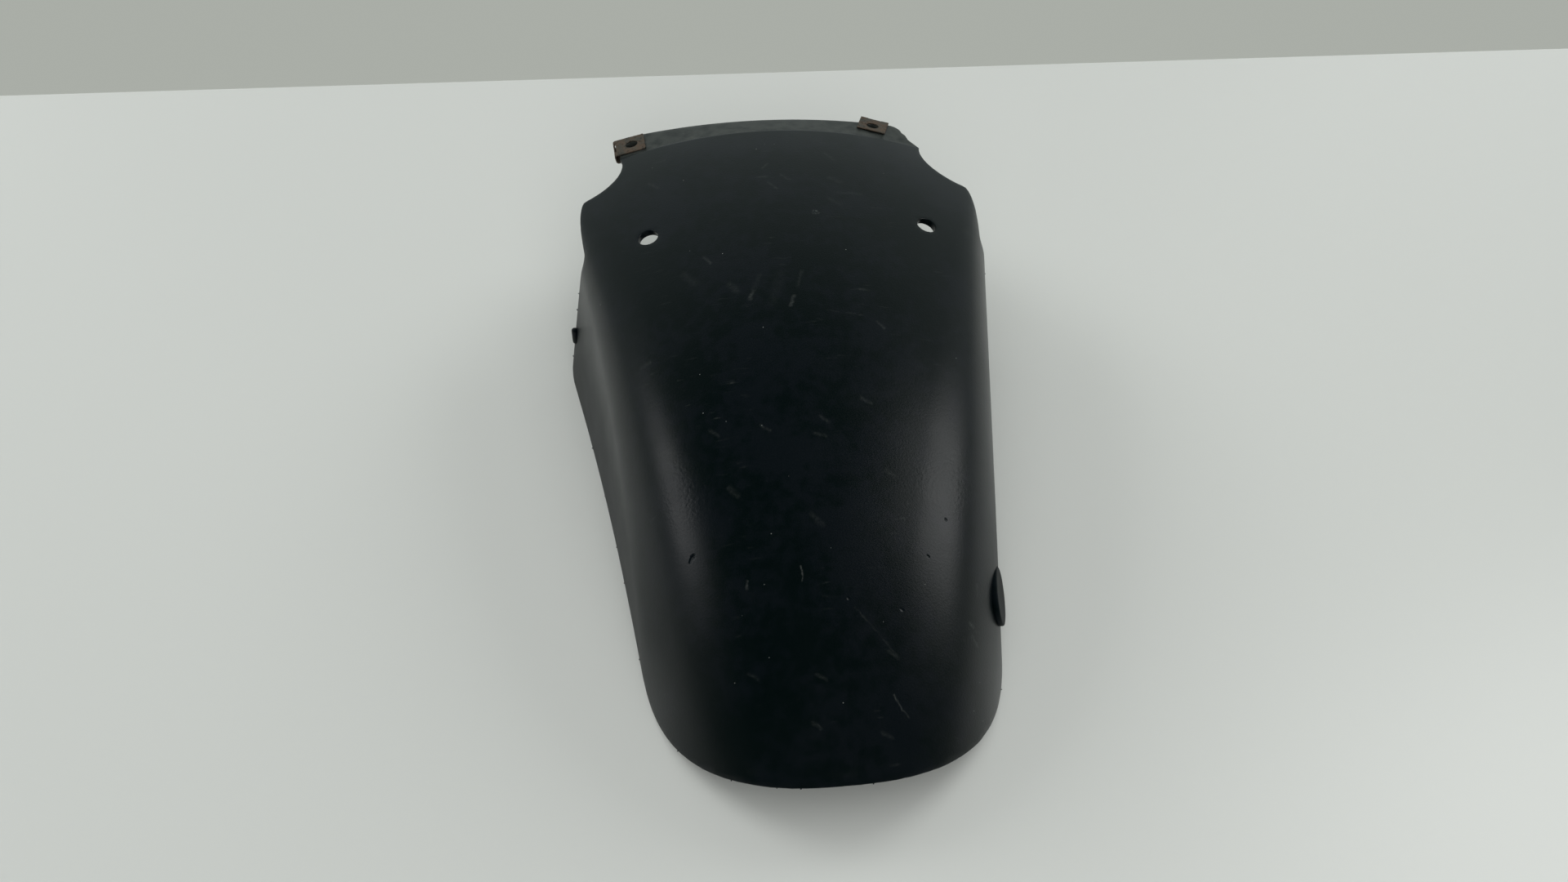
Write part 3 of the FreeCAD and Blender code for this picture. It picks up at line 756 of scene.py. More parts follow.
def flash_tree(material):
    """Geometry nodes that set nibs of moulding flash along the lower edges of the formed sheet"""
    tree, entry, leave = settings_tree("edge_flash", FlashSizes)
    labels = ("Nib size", "Nib share", "Top", "Seed")
    size, share, top, seed = (Wire(tree, entry.outputs[label]) for label in labels)

    edges = Wire(tree, tree.nodes.new("GeometryNodeInputMeshEdgeNeighbors").outputs["Face Count"])
    path = tree.nodes.new("GeometryNodeMeshToCurve")
    tree.links.new(entry.outputs["Geometry"], path.inputs["Mesh"])
    tree.links.new(edges.math("LESS_THAN", 1.5).socket, path.inputs["Selection"])
    points = tree.nodes.new("GeometryNodeCurveToPoints")
    points.mode = "LENGTH"
    tree.links.new(path.outputs["Curve"], points.inputs["Curve"])
    tree.links.new(entry.outputs["Nib spacing"], points.inputs["Length"])

    split = tree.nodes.new("ShaderNodeSeparateXYZ")
    tree.links.new(tree.nodes.new("GeometryNodeInputPosition").outputs["Position"], split.inputs["Vector"])
    height = Wire(tree, split.outputs["Z"])
    join = tree.nodes.new("ShaderNodeCombineXYZ")
    tree.links.new(split.outputs["X"], join.inputs["X"])
    tree.links.new(split.outputs["Y"], join.inputs["Y"])
    tree.links.new(height.math("MAXIMUM", size * NIB_LIFT).socket, join.inputs["Z"])
    lift = tree.nodes.new("GeometryNodeSetPosition")
    tree.links.new(points.outputs["Points"], lift.inputs["Geometry"])
    tree.links.new(join.outputs["Vector"], lift.inputs["Position"])

    def chance(kind, low, high, step):
        """Random value between two ends, the seed moved on by the step"""
        node = tree.nodes.new("FunctionNodeRandomValue")
        node.data_type = kind
        first_end, output = {"FLOAT": (2, 1), "FLOAT_VECTOR": (0, 0)}[kind]
        node.inputs[first_end].default_value = low
        node.inputs[first_end + 1].default_value = high
        tree.links.new((seed + step).socket, node.inputs["Seed"])
        return node.outputs[output]

    nib = tree.nodes.new("GeometryNodeMeshIcoSphere")
    nib.inputs["Subdivisions"].default_value = 2
    tree.links.new(size.socket, nib.inputs["Radius"])
    place = tree.nodes.new("GeometryNodeInstanceOnPoints")
    kept = Wire(tree, chance("FLOAT", 0.0, 1.0, 0)).math("LESS_THAN", share)
    low = height.math("LESS_THAN", top)
    tree.links.new(lift.outputs["Geometry"], place.inputs["Points"])
    tree.links.new((kept * low).socket, place.inputs["Selection"])
    tree.links.new(nib.outputs["Mesh"], place.inputs["Instance"])
    tree.links.new(chance("FLOAT_VECTOR", *NIB_TURNS, 1), place.inputs["Rotation"])
    tree.links.new(chance("FLOAT_VECTOR", *NIB_SCALES, 2), place.inputs["Scale"])
    finish_tree(tree, place.outputs["Instances"], leave, material)
    return tree


def new_object(name, mesh):
    piece = bpy.data.objects.new(name, mesh)
    bpy.context.scene.collection.objects.link(piece)
    return piece


def plain_mesh(piece):
    """Mesh of a piece with its modifiers worked in; the piece itself is removed"""
    graph = bpy.context.evaluated_depsgraph_get()
    mesh = bpy.data.meshes.new_from_object(piece.evaluated_get(graph))
    bpy.data.objects.remove(piece)
    return mesh


def grown_mesh(name, flat, tree, values):
    """Plain mesh that a tree makes from a mesh, its inputs set by identifier"""
    piece = new_object(name, flat)
    modifier = piece.modifiers.new("form", "NODES")
    modifier.node_group = tree
    for identifier, value in values.items():
        modifier[identifier] = value
    return plain_mesh(piece)


def pressed(mesh):
    """Presses the dents into the outer face"""
    for start, end, width, depth in DENTS:
        a, b = Vector(start), Vector(end)
        run = b - a
        for vertex in mesh.vertices:
            if (vertex.co - a).length > width + run.length:
                continue
            t = max(0.0, min(1.0, (vertex.co - a).dot(run) / max(run.length_squared, 1e-12)))
            near = (vertex.co - a - run * t).length / width
            if near < 1.0:
                vertex.co -= vertex.normal * depth * (1 - near * near) ** 2


def walled(mesh, thickness, offset, edge_round, shares=None):
    """The formed sheet with its thickness and rounded edges; shares thin it at single points"""
    piece = new_object("walled", mesh)
    solid = piece.modifiers.new("wall", "SOLIDIFY")
    solid.thickness = thickness
    solid.offset = offset
    solid.use_even_offset = True
    solid.use_quality_normals = True
    if shares:
        group = piece.vertex_groups.new(name="thickness")
        for index, share in enumerate(shares):
            group.add([index], share, "REPLACE")
        solid.vertex_group = "thickness"
    round_edges = piece.modifiers.new("edges", "BEVEL")
    round_edges.width = edge_round
    round_edges.segments = 3
    round_edges.limit_method = "ANGLE"
    round_edges.angle_limit = math.radians(50)
    round_edges.use_clamp_overlap = False
    mesh = plain_mesh(piece)
    for vertex in mesh.vertices:
        vertex.co.z = max(vertex.co.z, 0.0)
    return mesh


def turned(bm, profile, origin, axis, count, bored=False):
    """Solid of revolution from radii and heights along the axis; a bored one joins up with itself"""
    axis = Vector(axis).normalized()
    across = axis.orthogonal().normalized()
    other = axis.cross(across)
    angles = [2 * math.pi * i / count for i in range(count)]
    spokes = [across * math.cos(a) + other * math.sin(a) for a in angles]
    rings = [[bm.verts.new(Vector(origin) + axis * height + spoke * radius) for spoke in spokes]
             for radius, height in profile]
    for low, high in zip(rings, rings[1:] + rings[:1] if bored else rings[1:]):
        for i in range(count):
            j = (i + 1) % count
            bm.faces.new((low[i], low[j], high[j], high[i]))
    if not bored:
        bm.faces.new(rings[0][::-1])
        bm.faces.new(rings[-1])


def with_pad_and_bead(mesh):
    """Adds the round pad on the right wall and the bead on the left wall's far edge"""
    bm = bmesh.new()
    bm.from_mesh(mesh)
    axis = Vector(PAD_AXIS)
    turned(bm, PAD_OUTLINE, Vector(PAD_FACE) - axis * PAD_WORN, axis, 56)
    start, end = Vector(BEAD[0]), Vector(BEAD[1])
    length = (end - start).length
    outline = [(radius * BEAD_R, height * BEAD_R) for radius, height in BEAD_END]
    outline += [(radius, length - height) for radius, height in outline[::-1]]
    turned(bm, outline, start, end - start, 20)
    bm.to_mesh(mesh)
    bm.free()


def clip_fold(g, flange_wall):
    """Line of the strip in side view, from the lead-in edge round the bends to the end of the lower leg.

    Its points are the distance along the strip, the place over the edge from the screw, and the height
    above the flange's top.
    """
    up = g.seat_gap + g.sheet / 2
    low = -flange_wall - g.under_gap - g.sheet / 2
    root = g.reach + g.sheet / 2 - g.bend_r
    line = [(-g.back - g.lead, up + g.lead_rise), (-g.back, up)]
    line += [(-g.back + (root + g.back) * i / LEG_STEPS, up) for i in range(1, LEG_STEPS)]
    line += [(root + g.bend_r * math.sin(a), up - g.bend_r + g.bend_r * math.cos(a)) for a in QUARTER_TURN]
    line += [(root + g.bend_r * math.cos(a), low + g.bend_r - g.bend_r * math.sin(a)) for a in QUARTER_TURN]
    line += [(root - (root + g.back) * i / LEG_STEPS, low) for i in range(1, LEG_STEPS + 1)]
    run, folded = 0.0, []
    for i, point in enumerate(line):
        run += math.dist(point, line[i - 1]) if i else 0.0
        folded.append((run, *point))
    return folded


def fold_place(fold, run):
    """Place over the edge and height at a distance along the strip"""
    for (run_a, u_a, w_a), (run_b, u_b, w_b) in zip(fold, fold[1:]):
        if run <= run_b or run_b == fold[-1][0]:
            t = (run - run_a) / (run_b - run_a)
            return u_a + (u_b - u_a) * t, w_a + (w_b - w_a) * t


def clip_blank(g, fold):
    """The strip laid flat, with its screw hole, the window in the bend and the hole of the thread"""
    stations = [run for run, u, w in fold]
    length = stations[-1]
    half = g.width / 2
    r = g.corner_r
    screw = next(run - u for run, u, w in fold if u > 0.0)
    thread = length - g.back
    inner = [run for run in stations if r < run < length - r]

    def corner(along, across, first):
        angles = [math.radians(first + a) for a in range(0, 91, 18)]
        return [Vector(p) for p in circle_points((along, across), r, angles)]

    outline = [Vector((run, -half)) for run in inner]
    outline += corner(length - r, r - half, -90) + corner(length - r, half - r, 0)
    outline += [Vector((run, half)) for run in inner[::-1]]
    outline += corner(r, half - r, 90) + corner(r, r - half, 180)
    bend = [run for run, u, w in fold if u > g.reach + g.sheet / 2 - WINDOW_BENDS * g.bend_r]
    window = [Vector((run, -g.window / 2)) for run in bend]
    window += [Vector((run, g.window / 2)) for run in bend[::-1]]
    holes = [window]
    for along, radius in ((screw, g.hole_r), (thread, g.thread_r)):
        holes.append([Vector(p) for p in ring((along, 0.0), radius, 24)])
    placed = near_finder([point for loop in (outline, *holes) for point in loop])
    net = []
    for run in inner:
        for i in range(1 - STRIP_STEPS, STRIP_STEPS):
            point = Vector((run, i * half / STRIP_STEPS))
            gap = placed.find((point.x, point.y, 0.0))[2]
            if gap > STRIP_GAP and not any(inside_line(point, hole) for hole in holes):
                net.append(point)
    return cut_sheet("clip_blank", [outline, *holes], net)


def clip_mesh(g, flange_wall, seat, axis, over):
    """Clip nut folded over the flange's edge, with its threaded collar"""
    fold = clip_fold(g, flange_wall)
    blank = clip_blank(g, fold)
    across = axis.cross(over)
    for vertex in blank.vertices:
        u, w = fold_place(fold, vertex.co.x)
        vertex.co = seat + over * u + axis * w + across * vertex.co.y
    mesh = walled(blank, g.sheet, 0.0, g.edge_round)
    bm = bmesh.new()
    bm.from_mesh(mesh)
    bmesh.ops.recalc_face_normals(bm, faces=bm.faces)
    top = -flange_wall - g.under_gap - g.sheet * COLLAR_ROOT
    foot = -flange_wall - g.under_gap - g.sheet - g.collar_height
    soft = THREAD_DEPTH
    profile = [(g.collar_r - soft, foot), (g.collar_r, foot + soft), (g.collar_r, top), (g.thread_r, top)]
    for i in range(THREADS):
        low = top - (top - foot - soft) * (i + 0.5) / THREADS
        profile += [(g.thread_r + soft, low + soft / 2), (g.thread_r, low)]
    profile.append((g.thread_r + soft, foot))
    turned(bm, profile, seat, axis, 32, bored=True)
    bm.to_mesh(mesh)
    bm.free()
    return mesh


def add_node(tree, kind, x, y, **values):
    node = tree.nodes.new(kind)
    node.location = (x, y)
    for key, value in values.items():
        setattr(node, key, value)
    return node


def set_input(tree, socket, value):
    """Links another socket to an input, or sets a plain value"""
    if isinstance(value, bpy.types.NodeSocket):
        tree.links.new(value, socket)
    else:
        socket.default_value = value


def math_node(tree, operation, x, y, *values, clamp=False):
    """Math node whose inputs are sockets or plain numbers"""
    node = add_node(tree, "ShaderNodeMath", x, y, operation=operation, use_clamp=clamp)
    for socket, value in zip(node.inputs, values):
        set_input(tree, socket, value)
    return node.outputs[0]


def vector_node(tree, operation, x, y, *values):
    """Vector math node whose inputs are sockets or plain vectors"""
    node = add_node(tree, "ShaderNodeVectorMath", x, y, operation=operation)
    for socket, value in zip(node.inputs, values):
        set_input(tree, socket, value)
    return node


def ramp_node(tree, x, y, factor, low, high):
    """Smooth step from 0 at low to 1 at high"""
    node = add_node(tree, "ShaderNodeMapRange", x, y, interpolation_type="SMOOTHSTEP", clamp=True)
    tree.links.new(factor, node.inputs["Value"])
    node.inputs["From Min"].default_value = low
    node.inputs["From Max"].default_value = high
    return node.outputs["Result"]


def noise_node(tree, x, y, vector, scale, detail=3.0, rough=0.5):
    node = add_node(tree, "ShaderNodeTexNoise", x, y)
    for label, value in (("Vector", vector), ("Scale", scale), ("Detail", detail), ("Roughness", rough)):
        set_input(tree, node.inputs[label], value)
    return node.outputs["Fac"]


def mix_colour(tree, x, y, factor, a, b):
    """Colour mix whose colours are sockets or plain colours"""
    node = add_node(tree, "ShaderNodeMix", x, y, data_type="RGBA")
    tree.links.new(factor, node.inputs["Factor"])
    for socket, value in ((node.inputs[6], a), (node.inputs[7], b)):
        set_input(tree, socket, value if isinstance(value, bpy.types.NodeSocket) else (*value, 1.0))
    return node.outputs[2]


def bump_node(tree, x, y, height, strength, distance):
    node = add_node(tree, "ShaderNodeBump", x, y)
    node.inputs["Strength"].default_value = strength
    node.inputs["Distance"].default_value = distance
    tree.links.new(height, node.inputs["Height"])
    return node.outputs["Normal"]


def grain_node(tree, x, y, grain, place, size):
    """Height of the fine grain at a size"""
    node = add_node(tree, "ShaderNodeGroup", x, y, node_tree=grain)
    tree.links.new(place, node.inputs["Vector"])
    node.inputs["Size"].default_value = size
    return node.outputs["Height"]


def new_group(name, inputs, outputs):
    group = bpy.data.node_groups.new(name, "ShaderNodeTree")
    for label, kind in inputs:
        group.interface.new_socket(label, in_out="INPUT", socket_type=kind)
    for label, kind in outputs:
        group.interface.new_socket(label, in_out="OUTPUT", socket_type=kind)
    entry = add_node(group, "NodeGroupInput", -900, 0)
    return group, entry.outputs, add_node(group, "NodeGroupOutput", 900, 0)


def scuff_stroke_group():
    """Mask of one rubbed stroke from Start to End, laid over the mask that comes in"""
    group, entry, leave = new_group(
        "scuff_stroke",
        [("Vector", "NodeSocketVector"), ("Start", "NodeSocketVector"), ("End", "NodeSocketVector"),
         ("Width", "NodeSocketFloat"), ("Strength", "NodeSocketFloat"), ("Mask", "NodeSocketFloat")],
        [("Mask", "NodeSocketFloat")])
    run = vector_node(group, "SUBTRACT", -700, 200, entry["End"], entry["Start"]).outputs["Vector"]
    reach = vector_node(group, "SUBTRACT", -700, 0, entry["Vector"], entry["Start"]).outputs["Vector"]
    along = vector_node(group, "DOT_PRODUCT", -520, 100, reach, run).outputs["Value"]
    square = vector_node(group, "DOT_PRODUCT", -520, 280, run, run).outputs["Value"]
    share = math_node(group, "DIVIDE", -340, 150, along, square, clamp=True)
    foot = vector_node(group, "SCALE", -160, 150, run)
    group.links.new(share, foot.inputs["Scale"])
    gap = vector_node(group, "DISTANCE", 20, 50, reach, foot.outputs["Vector"]).outputs["Value"]
    near = math_node(group, "DIVIDE", 200, 50, gap, entry["Width"])
    inside = ramp_node(group, 380, 50, near, low=1.0, high=0.0)
    stroke = math_node(group, "MULTIPLY", 560, 50, inside, entry["Strength"])
    group.links.new(math_node(group, "MAXIMUM", 740, 0, stroke, entry["Mask"]), leave.inputs["Mask"])
    return group


def fine_grain_group():
    """Fine pitted skin: a height that changes over the surface"""
    group, entry, leave = new_group(
        "fine_grain", [("Vector", "NodeSocketVector"), ("Size", "NodeSocketFloat")],
        [("Height", "NodeSocketFloat")])
    scale = math_node(group, "DIVIDE", -700, 0, 1.0, entry["Size"])
    cells = add_node(group, "ShaderNodeTexVoronoi", -500, 100, feature="SMOOTH_F1")
    group.links.new(entry["Vector"], cells.inputs["Vector"])
    group.links.new(scale, cells.inputs["Scale"])
    haze = noise_node(group, -500, -200, entry["Vector"], scale)
    group.links.new(math_node(group, "ADD", -200, 0, cells.outputs["Distance"], haze), leave.inputs["Height"])
    return group


def new_material(name):
    material = bpy.data.materials.new(name)
    material.use_nodes = True
    tree = material.node_tree
    tree.nodes.clear()
    shader = add_node(tree, "ShaderNodeBsdfPrincipled", 1400, 0)
    output = add_node(tree, "ShaderNodeOutputMaterial", 1700, 0)
    tree.links.new(shader.outputs["BSDF"], output.inputs["Surface"])
    return material, tree, shader


def flange_dust_and_sheen(tree, axes, specks):
    """Mask of the flange's dust and painted sheen, beyond the bowed crease: its lighter colour stands partly
    for dust and partly for the light that the bent flange catches
    """
    bow = math_node(tree, "MULTIPLY", -1400, 1000, axes["X"], axes["X"])
    far = math_node(tree, "MULTIPLY_ADD", -1200, 1000, bow, CREASE_BOW, axes["Y"])
    before, beyond = CREASE_BLUR
    flange = ramp_node(tree, -1000, 1000, far, low=CREASE_Y - before, high=CREASE_Y + beyond)
    patchy = ramp_node(tree, -1000, 800, specks, low=0.1, high=0.75)
    return math_node(tree, "MULTIPLY", -800, 900, flange, patchy)


def scuff_mask(tree, place, stroke):
    """Mask of faint rubs all over and of the single scuffs, broken up into crumbs"""
    turn = add_node(tree, "ShaderNodeMapping", -1400, 100)
    turn.inputs["Rotation"].default_value = (0.0, 0.0, RUB_TURN)
    turn.inputs["Scale"].default_value = RUB_SCALE
    tree.links.new(place, turn.inputs["Vector"])
    streaks = noise_node(tree, -1200, 100, turn.outputs["Vector"], scale=1.0, detail=2.0)
    where = noise_node(tree, -1200, -100, place, scale=34.0, detail=2.0)
    rubs = math_node(tree, "MULTIPLY", -700, 50, ramp_node(tree, -900, 100, streaks, low=0.62, high=0.84),
                     ramp_node(tree, -900, -100, where, low=0.46, high=0.68))
    mask = math_node(tree, "MULTIPLY", -500, 50, rubs, RUB_STRENGTH)

    drift = add_node(tree, "ShaderNodeTexNoise", -1800, -300)
    tree.links.new(place, drift.inputs["Vector"])
    drift.inputs["Scale"].default_value = 420.0
    shift = vector_node(tree, "MULTIPLY_ADD", -1600, -300, drift.outputs["Color"], (SCUFF_DRIFT,) * 3,
                        (-SCUFF_DRIFT / 2,) * 3)
    uneven = vector_node(tree, "ADD", -1400, -300, place, shift.outputs["Vector"]).outputs["Vector"]
    for i, (start, end, width, strength) in enumerate(SCUFFS):
        node = add_node(tree, "ShaderNodeGroup", -400 + 40 * i, -600 - 30 * i, node_tree=stroke)
        values = {"Vector": uneven, "Start": start, "End": end, "Width": width * SCUFF_SPREAD,
                  "Strength": strength * min(1.0, SCUFF_FAINT_FROM / width), "Mask": mask}
        for label, value in values.items():
            set_input(tree, node.inputs[label], value)
        mask = node.outputs["Mask"]
    crumbs = noise_node(tree, 0, -200, place, scale=900.0, detail=4.0, rough=0.7)
    gaps = noise_node(tree, 0, -350, place, scale=300.0, detail=2.0, rough=0.5)
    broken = math_node(tree, "MULTIPLY", 400, -250, ramp_node(tree, 300, -200, crumbs, low=0.36, high=0.66),
                       ramp_node(tree, 300, -350, gaps, low=0.30, high=0.54))
    broken = math_node(tree, "MULTIPLY_ADD", 450, -250, broken, CRUMB_SHARE, 1.0 - CRUMB_SHARE)
    return math_node(tree, "MULTIPLY", 500, -100, mask, broken)


def dust_mask(tree, place):
    """Mask of single specks of dust"""
    cells = add_node(tree, "ShaderNodeTexVoronoi", 0, -500)
    tree.links.new(place, cells.inputs["Vector"])
    cells.inputs["Scale"].default_value = 230.0
    chosen = add_node(tree, "ShaderNodeSeparateColor", 200, -600)
    tree.links.new(cells.outputs["Color"], chosen.inputs["Color"])
    return math_node(tree, "MULTIPLY", 600, -550,
                     ramp_node(tree, 400, -500, cells.outputs["Distance"], low=0.048, high=0.028),
                     math_node(tree, "GREATER_THAN", 400, -650, chosen.outputs["Red"], 1.0 - DUST_SHARE))


def skin_height(tree, place, grain, size):
    """Height of the fine grain, with coarser pits at the pitted spots"""
    height = grain_node(tree, 700, -400, grain, place, size)
    leather = grain_node(tree, 700, -600, grain, place, 2 * size)
    for spot, radius in PITTED:
        gap = vector_node(tree, "DISTANCE", 500, -800, place, spot).outputs["Value"]
        worn = ramp_node(tree, 700, -800, gap, low=radius, high=0.3 * radius)
        pits = math_node(tree, "MULTIPLY", 850, -700, leather, worn)
        height = math_node(tree, "MULTIPLY_ADD", 950, -500, pits, PIT_DEPTH, height)
    return height


def satin_black_plastic(finish, stroke, grain):
    """Black moulding, satin on the crown, greyed in patches, scuffed and scratched"""
    material, tree, shader = new_material("satin_black_plastic")
    place = add_node(tree, "ShaderNodeTexCoord", -2000, 0).outputs["Object"]
    split = add_node(tree, "ShaderNodeSeparateXYZ", -1600, 900)
    tree.links.new(place, split.inputs["Vector"])
    axes = split.outputs

    patches = noise_node(tree, -1200, 700, place, scale=26.0, detail=4.0, rough=0.6)
    specks = noise_node(tree, -1200, 500, place, scale=210.0, detail=3.0, rough=0.6)
    mottle = math_node(tree, "MULTIPLY_ADD", -1000, 600, specks, SPECK_SHARE, patches)
    fade = ramp_node(tree, -800, 500, mottle, low=0.62, high=0.86)
    flange = flange_dust_and_sheen(tree, axes, specks)
    scuffs = scuff_mask(tree, place, stroke)
    colour = mix_colour(tree, -600, 500, fade, finish.black, finish.faded)
    # The flange is painted lighter: partly dust, partly a painted sheen for the light that its bent face
    # catches
    colour = mix_colour(tree, -400, 600, flange, colour, finish.dust_and_sheen)
    colour = mix_colour(tree, 800, 300, scuffs, colour, finish.scuff)
    colour = mix_colour(tree, 1000, 300, dust_mask(tree, place), colour, finish.dust)
    tree.links.new(colour, shader.inputs["Base Color"])

    low_down = ramp_node(tree, 500, 250, axes["Z"], low=0.055, high=0.020)
    off_the_rim = ramp_node(tree, 500, 350, axes["Y"], low=-0.125, high=-0.085)
    walls = math_node(tree, "MULTIPLY", 700, 250, low_down, off_the_rim)
    gap = vector_node(tree, "DISTANCE", 300, 450, place, PAD_FACE).outputs["Value"]
    pad = ramp_node(tree, 500, 450, gap, low=0.0126, high=0.0120)
    dull = math_node(tree, "MAXIMUM", 800, 350, math_node(tree, "MULTIPLY", 750, 250, walls, 0.5), pad)
    cloud = noise_node(tree, 500, 100, place, scale=60.0, detail=3.0)
    rough = math_node(tree, "MULTIPLY_ADD", 700, 100, cloud, CLOUD_ROUGH, finish.satin - CLOUD_ROUGH / 2)
    for x, mask, more in ((850, flange, FLANGE_ROUGH), (900, dull, DULL_ROUGH), (1000, scuffs, SCUFF_ROUGH)):
        rough = math_node(tree, "MULTIPLY_ADD", x, 100, mask, more, rough)
    shine = SHINE
    for x, mask, less in ((900, walls, WALL_SHINE_LOSS), (1000, pad, PAD_SHINE_LOSS)):
        shine = math_node(tree, "MULTIPLY_ADD", x, 350, mask, -less, shine)
    tree.links.new(rough, shader.inputs["Roughness"])
    tree.links.new(shine, shader.inputs["Specular IOR Level"])

    skin = skin_height(tree, place, grain, finish.grain)
    normal = bump_node(tree, 1150, -400, skin, strength=0.16, distance=0.00012)
    tree.links.new(normal, shader.inputs["Normal"])
    return material


def rusty_spring_steel(finish, grain):
    """Spring steel under brown rust, with dark crusts"""
    material, tree, shader = new_material("rusty_spring_steel")
    place = add_node(tree, "ShaderNodeTexCoord", -1400, 0).outputs["Object"]
    rust = noise_node(tree, -1100, 300, place, scale=260.0, detail=5.0, rough=0.65)
    rust = ramp_node(tree, -800, 300, rust, low=0.36, high=0.60)
    crust = noise_node(tree, -1100, 0, place, scale=620.0, detail=4.0, rough=0.7)
    crust = ramp_node(tree, -800, 0, crust, low=0.54, high=0.66)
    colour = mix_colour(tree, -500, 300, rust, finish.steel, finish.rust)
    colour = mix_colour(tree, -200, 200, crust, colour, finish.crust)
    tree.links.new(colour, shader.inputs["Base Color"])
    tree.links.new(math_node(tree, "MULTIPLY_ADD", 200, 0, rust, 0.25, 0.5), shader.inputs["Roughness"])
    tree.links.new(math_node(tree, "MULTIPLY_ADD", 200, -150, rust, -0.5, 0.6), shader.inputs["Metallic"])
    skin = grain_node(tree, 200, -400, grain, place, RUST_GRAIN)
    tree.links.new(bump_node(tree, 600, -400, skin, strength=0.5, distance=0.0002), shader.inputs["Normal"])
    return material


def shared_group(name, make):
    """Node group of a name, made when it is first asked for"""
    return bpy.data.node_groups.get(name) or make()


def fitted_piece(name, mesh, material, node=None):
    """Finished piece on the rigid body; most stand for a node of the frame"""
    mesh.materials.clear()
    mesh.materials.append(material)
    mesh.shade_smooth()
    piece = new_object(name, mesh)
    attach(piece, "root")
    if node:
        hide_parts(node)


def plastic_of(finish):
    """The moulding's material, made once"""
    made = bpy.data.materials.get("satin_black_plastic")
    return made or satin_black_plastic(finish, shared_group("scuff_stroke", scuff_stroke_group),
                                       shared_group("fine_grain", fine_grain_group))


def formed_sheet(sizes, material):
    """The shell's outer face as an open sheet, and each point's share of the wall thickness"""
    tree = shared_group("form_shell", lambda: shell_tree(material))
    flat = shell_blank(sizes)
    thin = sizes.flange_wall / sizes.wall
    shares = [thin if vertex.co.y > sizes.crown_line else 1.0 for vertex in flat.vertices]
    return grown_mesh("formed_sheet", flat, tree, tree_values(tree, sizes)), shares


class FENDER_OT_shell(bpy.types.Operator):
    """Form the moulded shell over the wheel and finish it in scuffed satin black"""
    bl_idname = "fender.form_shell"
    bl_label = "Form shell"

    def execute(self, context):
        sizes = context.scene.fender.shell
        material = plastic_of(context.scene.fender.plastic)
        formed, shares = formed_sheet(sizes, material)
        mesh = walled(formed, sizes.wall, -1.0, sizes.edge_round, shares)
        pressed(mesh)
        with_pad_and_bead(mesh)
        fitted_piece("moulded_shell", mesh, material, "fender_shell")
        return {"FINISHED"}


class FENDER_OT_flash(bpy.types.Operator):
    """Set small nibs of moulding flash along the shell's lower edges"""
    bl_idname = "fender.set_edge_flash"
    bl_label = "Set edge flash"

    def execute(self, context):
        settings = context.scene.fender
        material = plastic_of(settings.plastic)
        formed, _ = formed_sheet(settings.shell, material)
        tree = flash_tree(material)
        mesh = grown_mesh("edge_flash", formed, tree, tree_values(tree, settings.flash))
        fitted_piece("edge_flash", mesh, material)
        return {"FINISHED"}


class FENDER_OT_clips(bpy.types.Operator):
    """Fold the two clip nuts over the edges of the flange and finish them in rusty steel"""
    bl_idname = "fender.fold_clip_nuts"
    bl_label = "Fold clip nuts"

    def execute(self, context):
        settings = context.scene.fender
        material = rusty_spring_steel(settings.rust, shared_group("fine_grain", fine_grain_group))
        for name in CLIPS:
            mesh = clip_mesh(settings.clip, settings.shell.flange_wall, *clip_seat(name))
            fitted_piece("folded_" + name, mesh, material, name)
        return {"FINISHED"}


def lay_table(studio):
    """Pale table top, cut off at its far edge"""
    material, _, shader = new_material("pale_table")
    shader.inputs["Base Color"].default_value = (*studio.table, 1.0)
    shader.inputs["Roughness"].default_value = TABLE_ROUGH
    far, side = studio.table_edge, studio.table_side
    corners = [(-side, -side, 0), (side, -side, 0), (side, far, 0), (-side, far, 0)]
    mesh = bpy.data.meshes.new("table_top")
    mesh.from_pydata(corners, [], [(0, 1, 2, 3)])
    mesh.materials.append(material)
    new_object("table_top", mesh)


def soft_lamp(name, place, target, width, height, watts, gloss_only):
    """Soft lamp that either lights the matt surfaces or is only seen in the gloss"""
    data = bpy.data.lights.new(name, "AREA")
    data.shape = "RECTANGLE"
    data.size = width
    data.size_y = height
    data.energy = watts
    lamp = new_object(name, data)
    lamp.location = place
    lamp.rotation_euler = (Vector(target) - Vector(place)).to_track_quat("-Z", "Y").to_euler()
    lamp.visible_camera = False
    lamp.visible_glossy = gloss_only
    lamp.visible_diffuse = not gloss_only


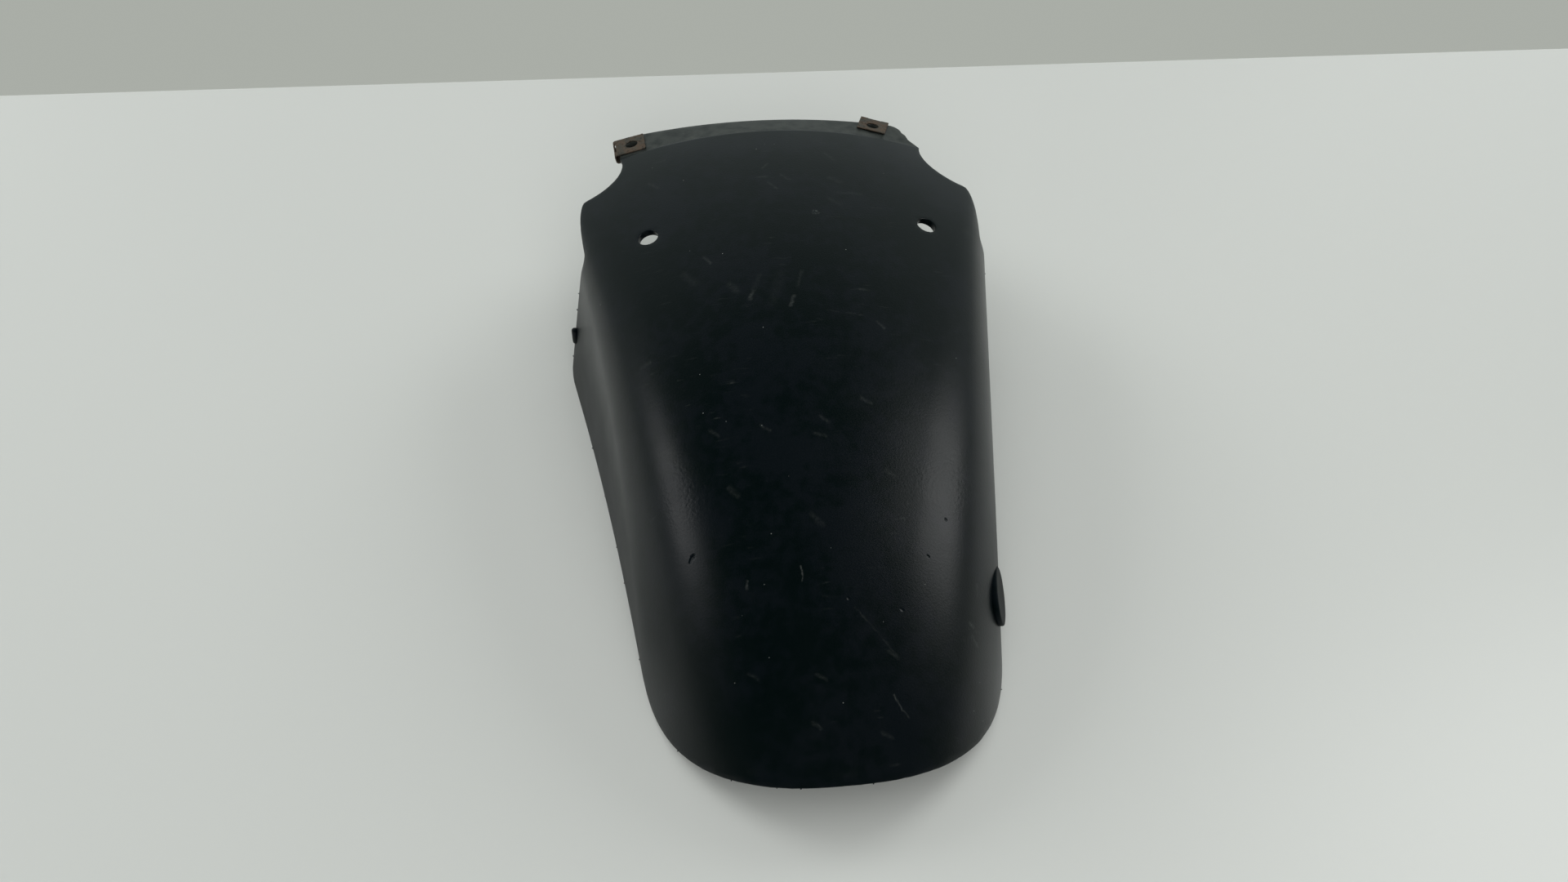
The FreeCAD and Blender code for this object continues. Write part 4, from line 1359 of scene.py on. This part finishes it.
def studio_air(room, sky):
    """Pale room around the table: bright low down at the far side, dark overhead and at the near side"""
    world = bpy.data.worlds.new("studio_air")
    world.use_nodes = True
    tree = world.node_tree
    tree.nodes.clear()
    way = add_node(tree, "ShaderNodeSeparateXYZ", -900, 0)
    tree.links.new(add_node(tree, "ShaderNodeTexCoord", -1100, 0).outputs["Generated"], way.inputs["Vector"])
    low = ramp_node(tree, -700, 100, way.outputs["Z"], low=1.0, high=0.55)
    far = ramp_node(tree, -700, -100, way.outputs["Y"], low=-0.1, high=0.6)
    far = math_node(tree, "MULTIPLY_ADD", -500, -100, far, 1.0 - NEAR_SIDE_LIGHT, NEAR_SIDE_LIGHT)
    dim = math_node(tree, "MULTIPLY", -300, 0, low, far)
    seen = add_node(tree, "ShaderNodeLightPath", -300, 300).outputs["Is Camera Ray"]
    air = add_node(tree, "ShaderNodeBackground", 300, 0)
    tree.links.new(mix_colour(tree, 0, 200, seen, sky, room), air.inputs["Color"])
    tree.links.new(math_node(tree, "MAXIMUM", -100, 0, dim, seen), air.inputs["Strength"])
    output = add_node(tree, "ShaderNodeOutputWorld", 500, 0)
    tree.links.new(air.outputs["Background"], output.inputs["Surface"])
    return world


def photo_camera(studio):
    """Camera at the photograph's place"""
    lens = bpy.data.cameras.new("photo_camera")
    lens.sensor_width = 36.0
    lens.lens = studio.lens
    lens.clip_start = 0.01
    camera = new_object("photo_camera", lens)
    camera.location = studio.camera_place
    camera.rotation_euler = studio.camera_turn
    return camera


class FENDER_OT_stage(bpy.types.Operator):
    """Set the table, the room, the lamps and the camera"""
    bl_idname = "fender.set_stage"
    bl_label = "Set stage"

    def execute(self, context):
        scene = context.scene
        studio = scene.fender.studio
        lay_table(studio)
        scene.world = studio_air(studio.room, studio.sky)
        for lamp in LAMPS:
            soft_lamp(*lamp)
        scene.camera = photo_camera(studio)
        scene.view_settings.view_transform = "Standard"
        return {"FINISHED"}


class FENDER_PT_panel(bpy.types.Panel):
    """Fender settings and steps"""
    bl_idname = "FENDER_PT_panel"
    bl_label = "Front fender"
    bl_space_type = "VIEW_3D"
    bl_region_type = "UI"
    bl_category = "Fender"

    def draw(self, context):
        settings = context.scene.fender
        for name in FenderSettings.__annotations__:
            group = getattr(settings, name)
            box = self.layout.box()
            for key in group.__annotations__:
                box.prop(group, key)
        for step in STEPS:
            self.layout.operator(step.bl_idname)


STEPS = (FENDER_OT_shell, FENDER_OT_flash, FENDER_OT_clips, FENDER_OT_stage)
CLASSES = (ShellSizes, FlashSizes, ClipSizes, PlasticFinish, RustFinish, StudioLayout, FenderSettings, *STEPS,
           FENDER_PT_panel)


def register():
    for cls in CLASSES:
        bpy.utils.register_class(cls)
    bpy.types.Scene.fender = PointerProperty(type=FenderSettings)


def unregister():
    del bpy.types.Scene.fender
    for cls in reversed(CLASSES):
        bpy.utils.unregister_class(cls)


def main():
    register()
    bpy.ops.fender.form_shell()
    bpy.ops.fender.set_edge_flash()
    bpy.ops.fender.fold_clip_nuts()
    bpy.ops.fender.set_stage()


if __name__ == "__main__":
    main()
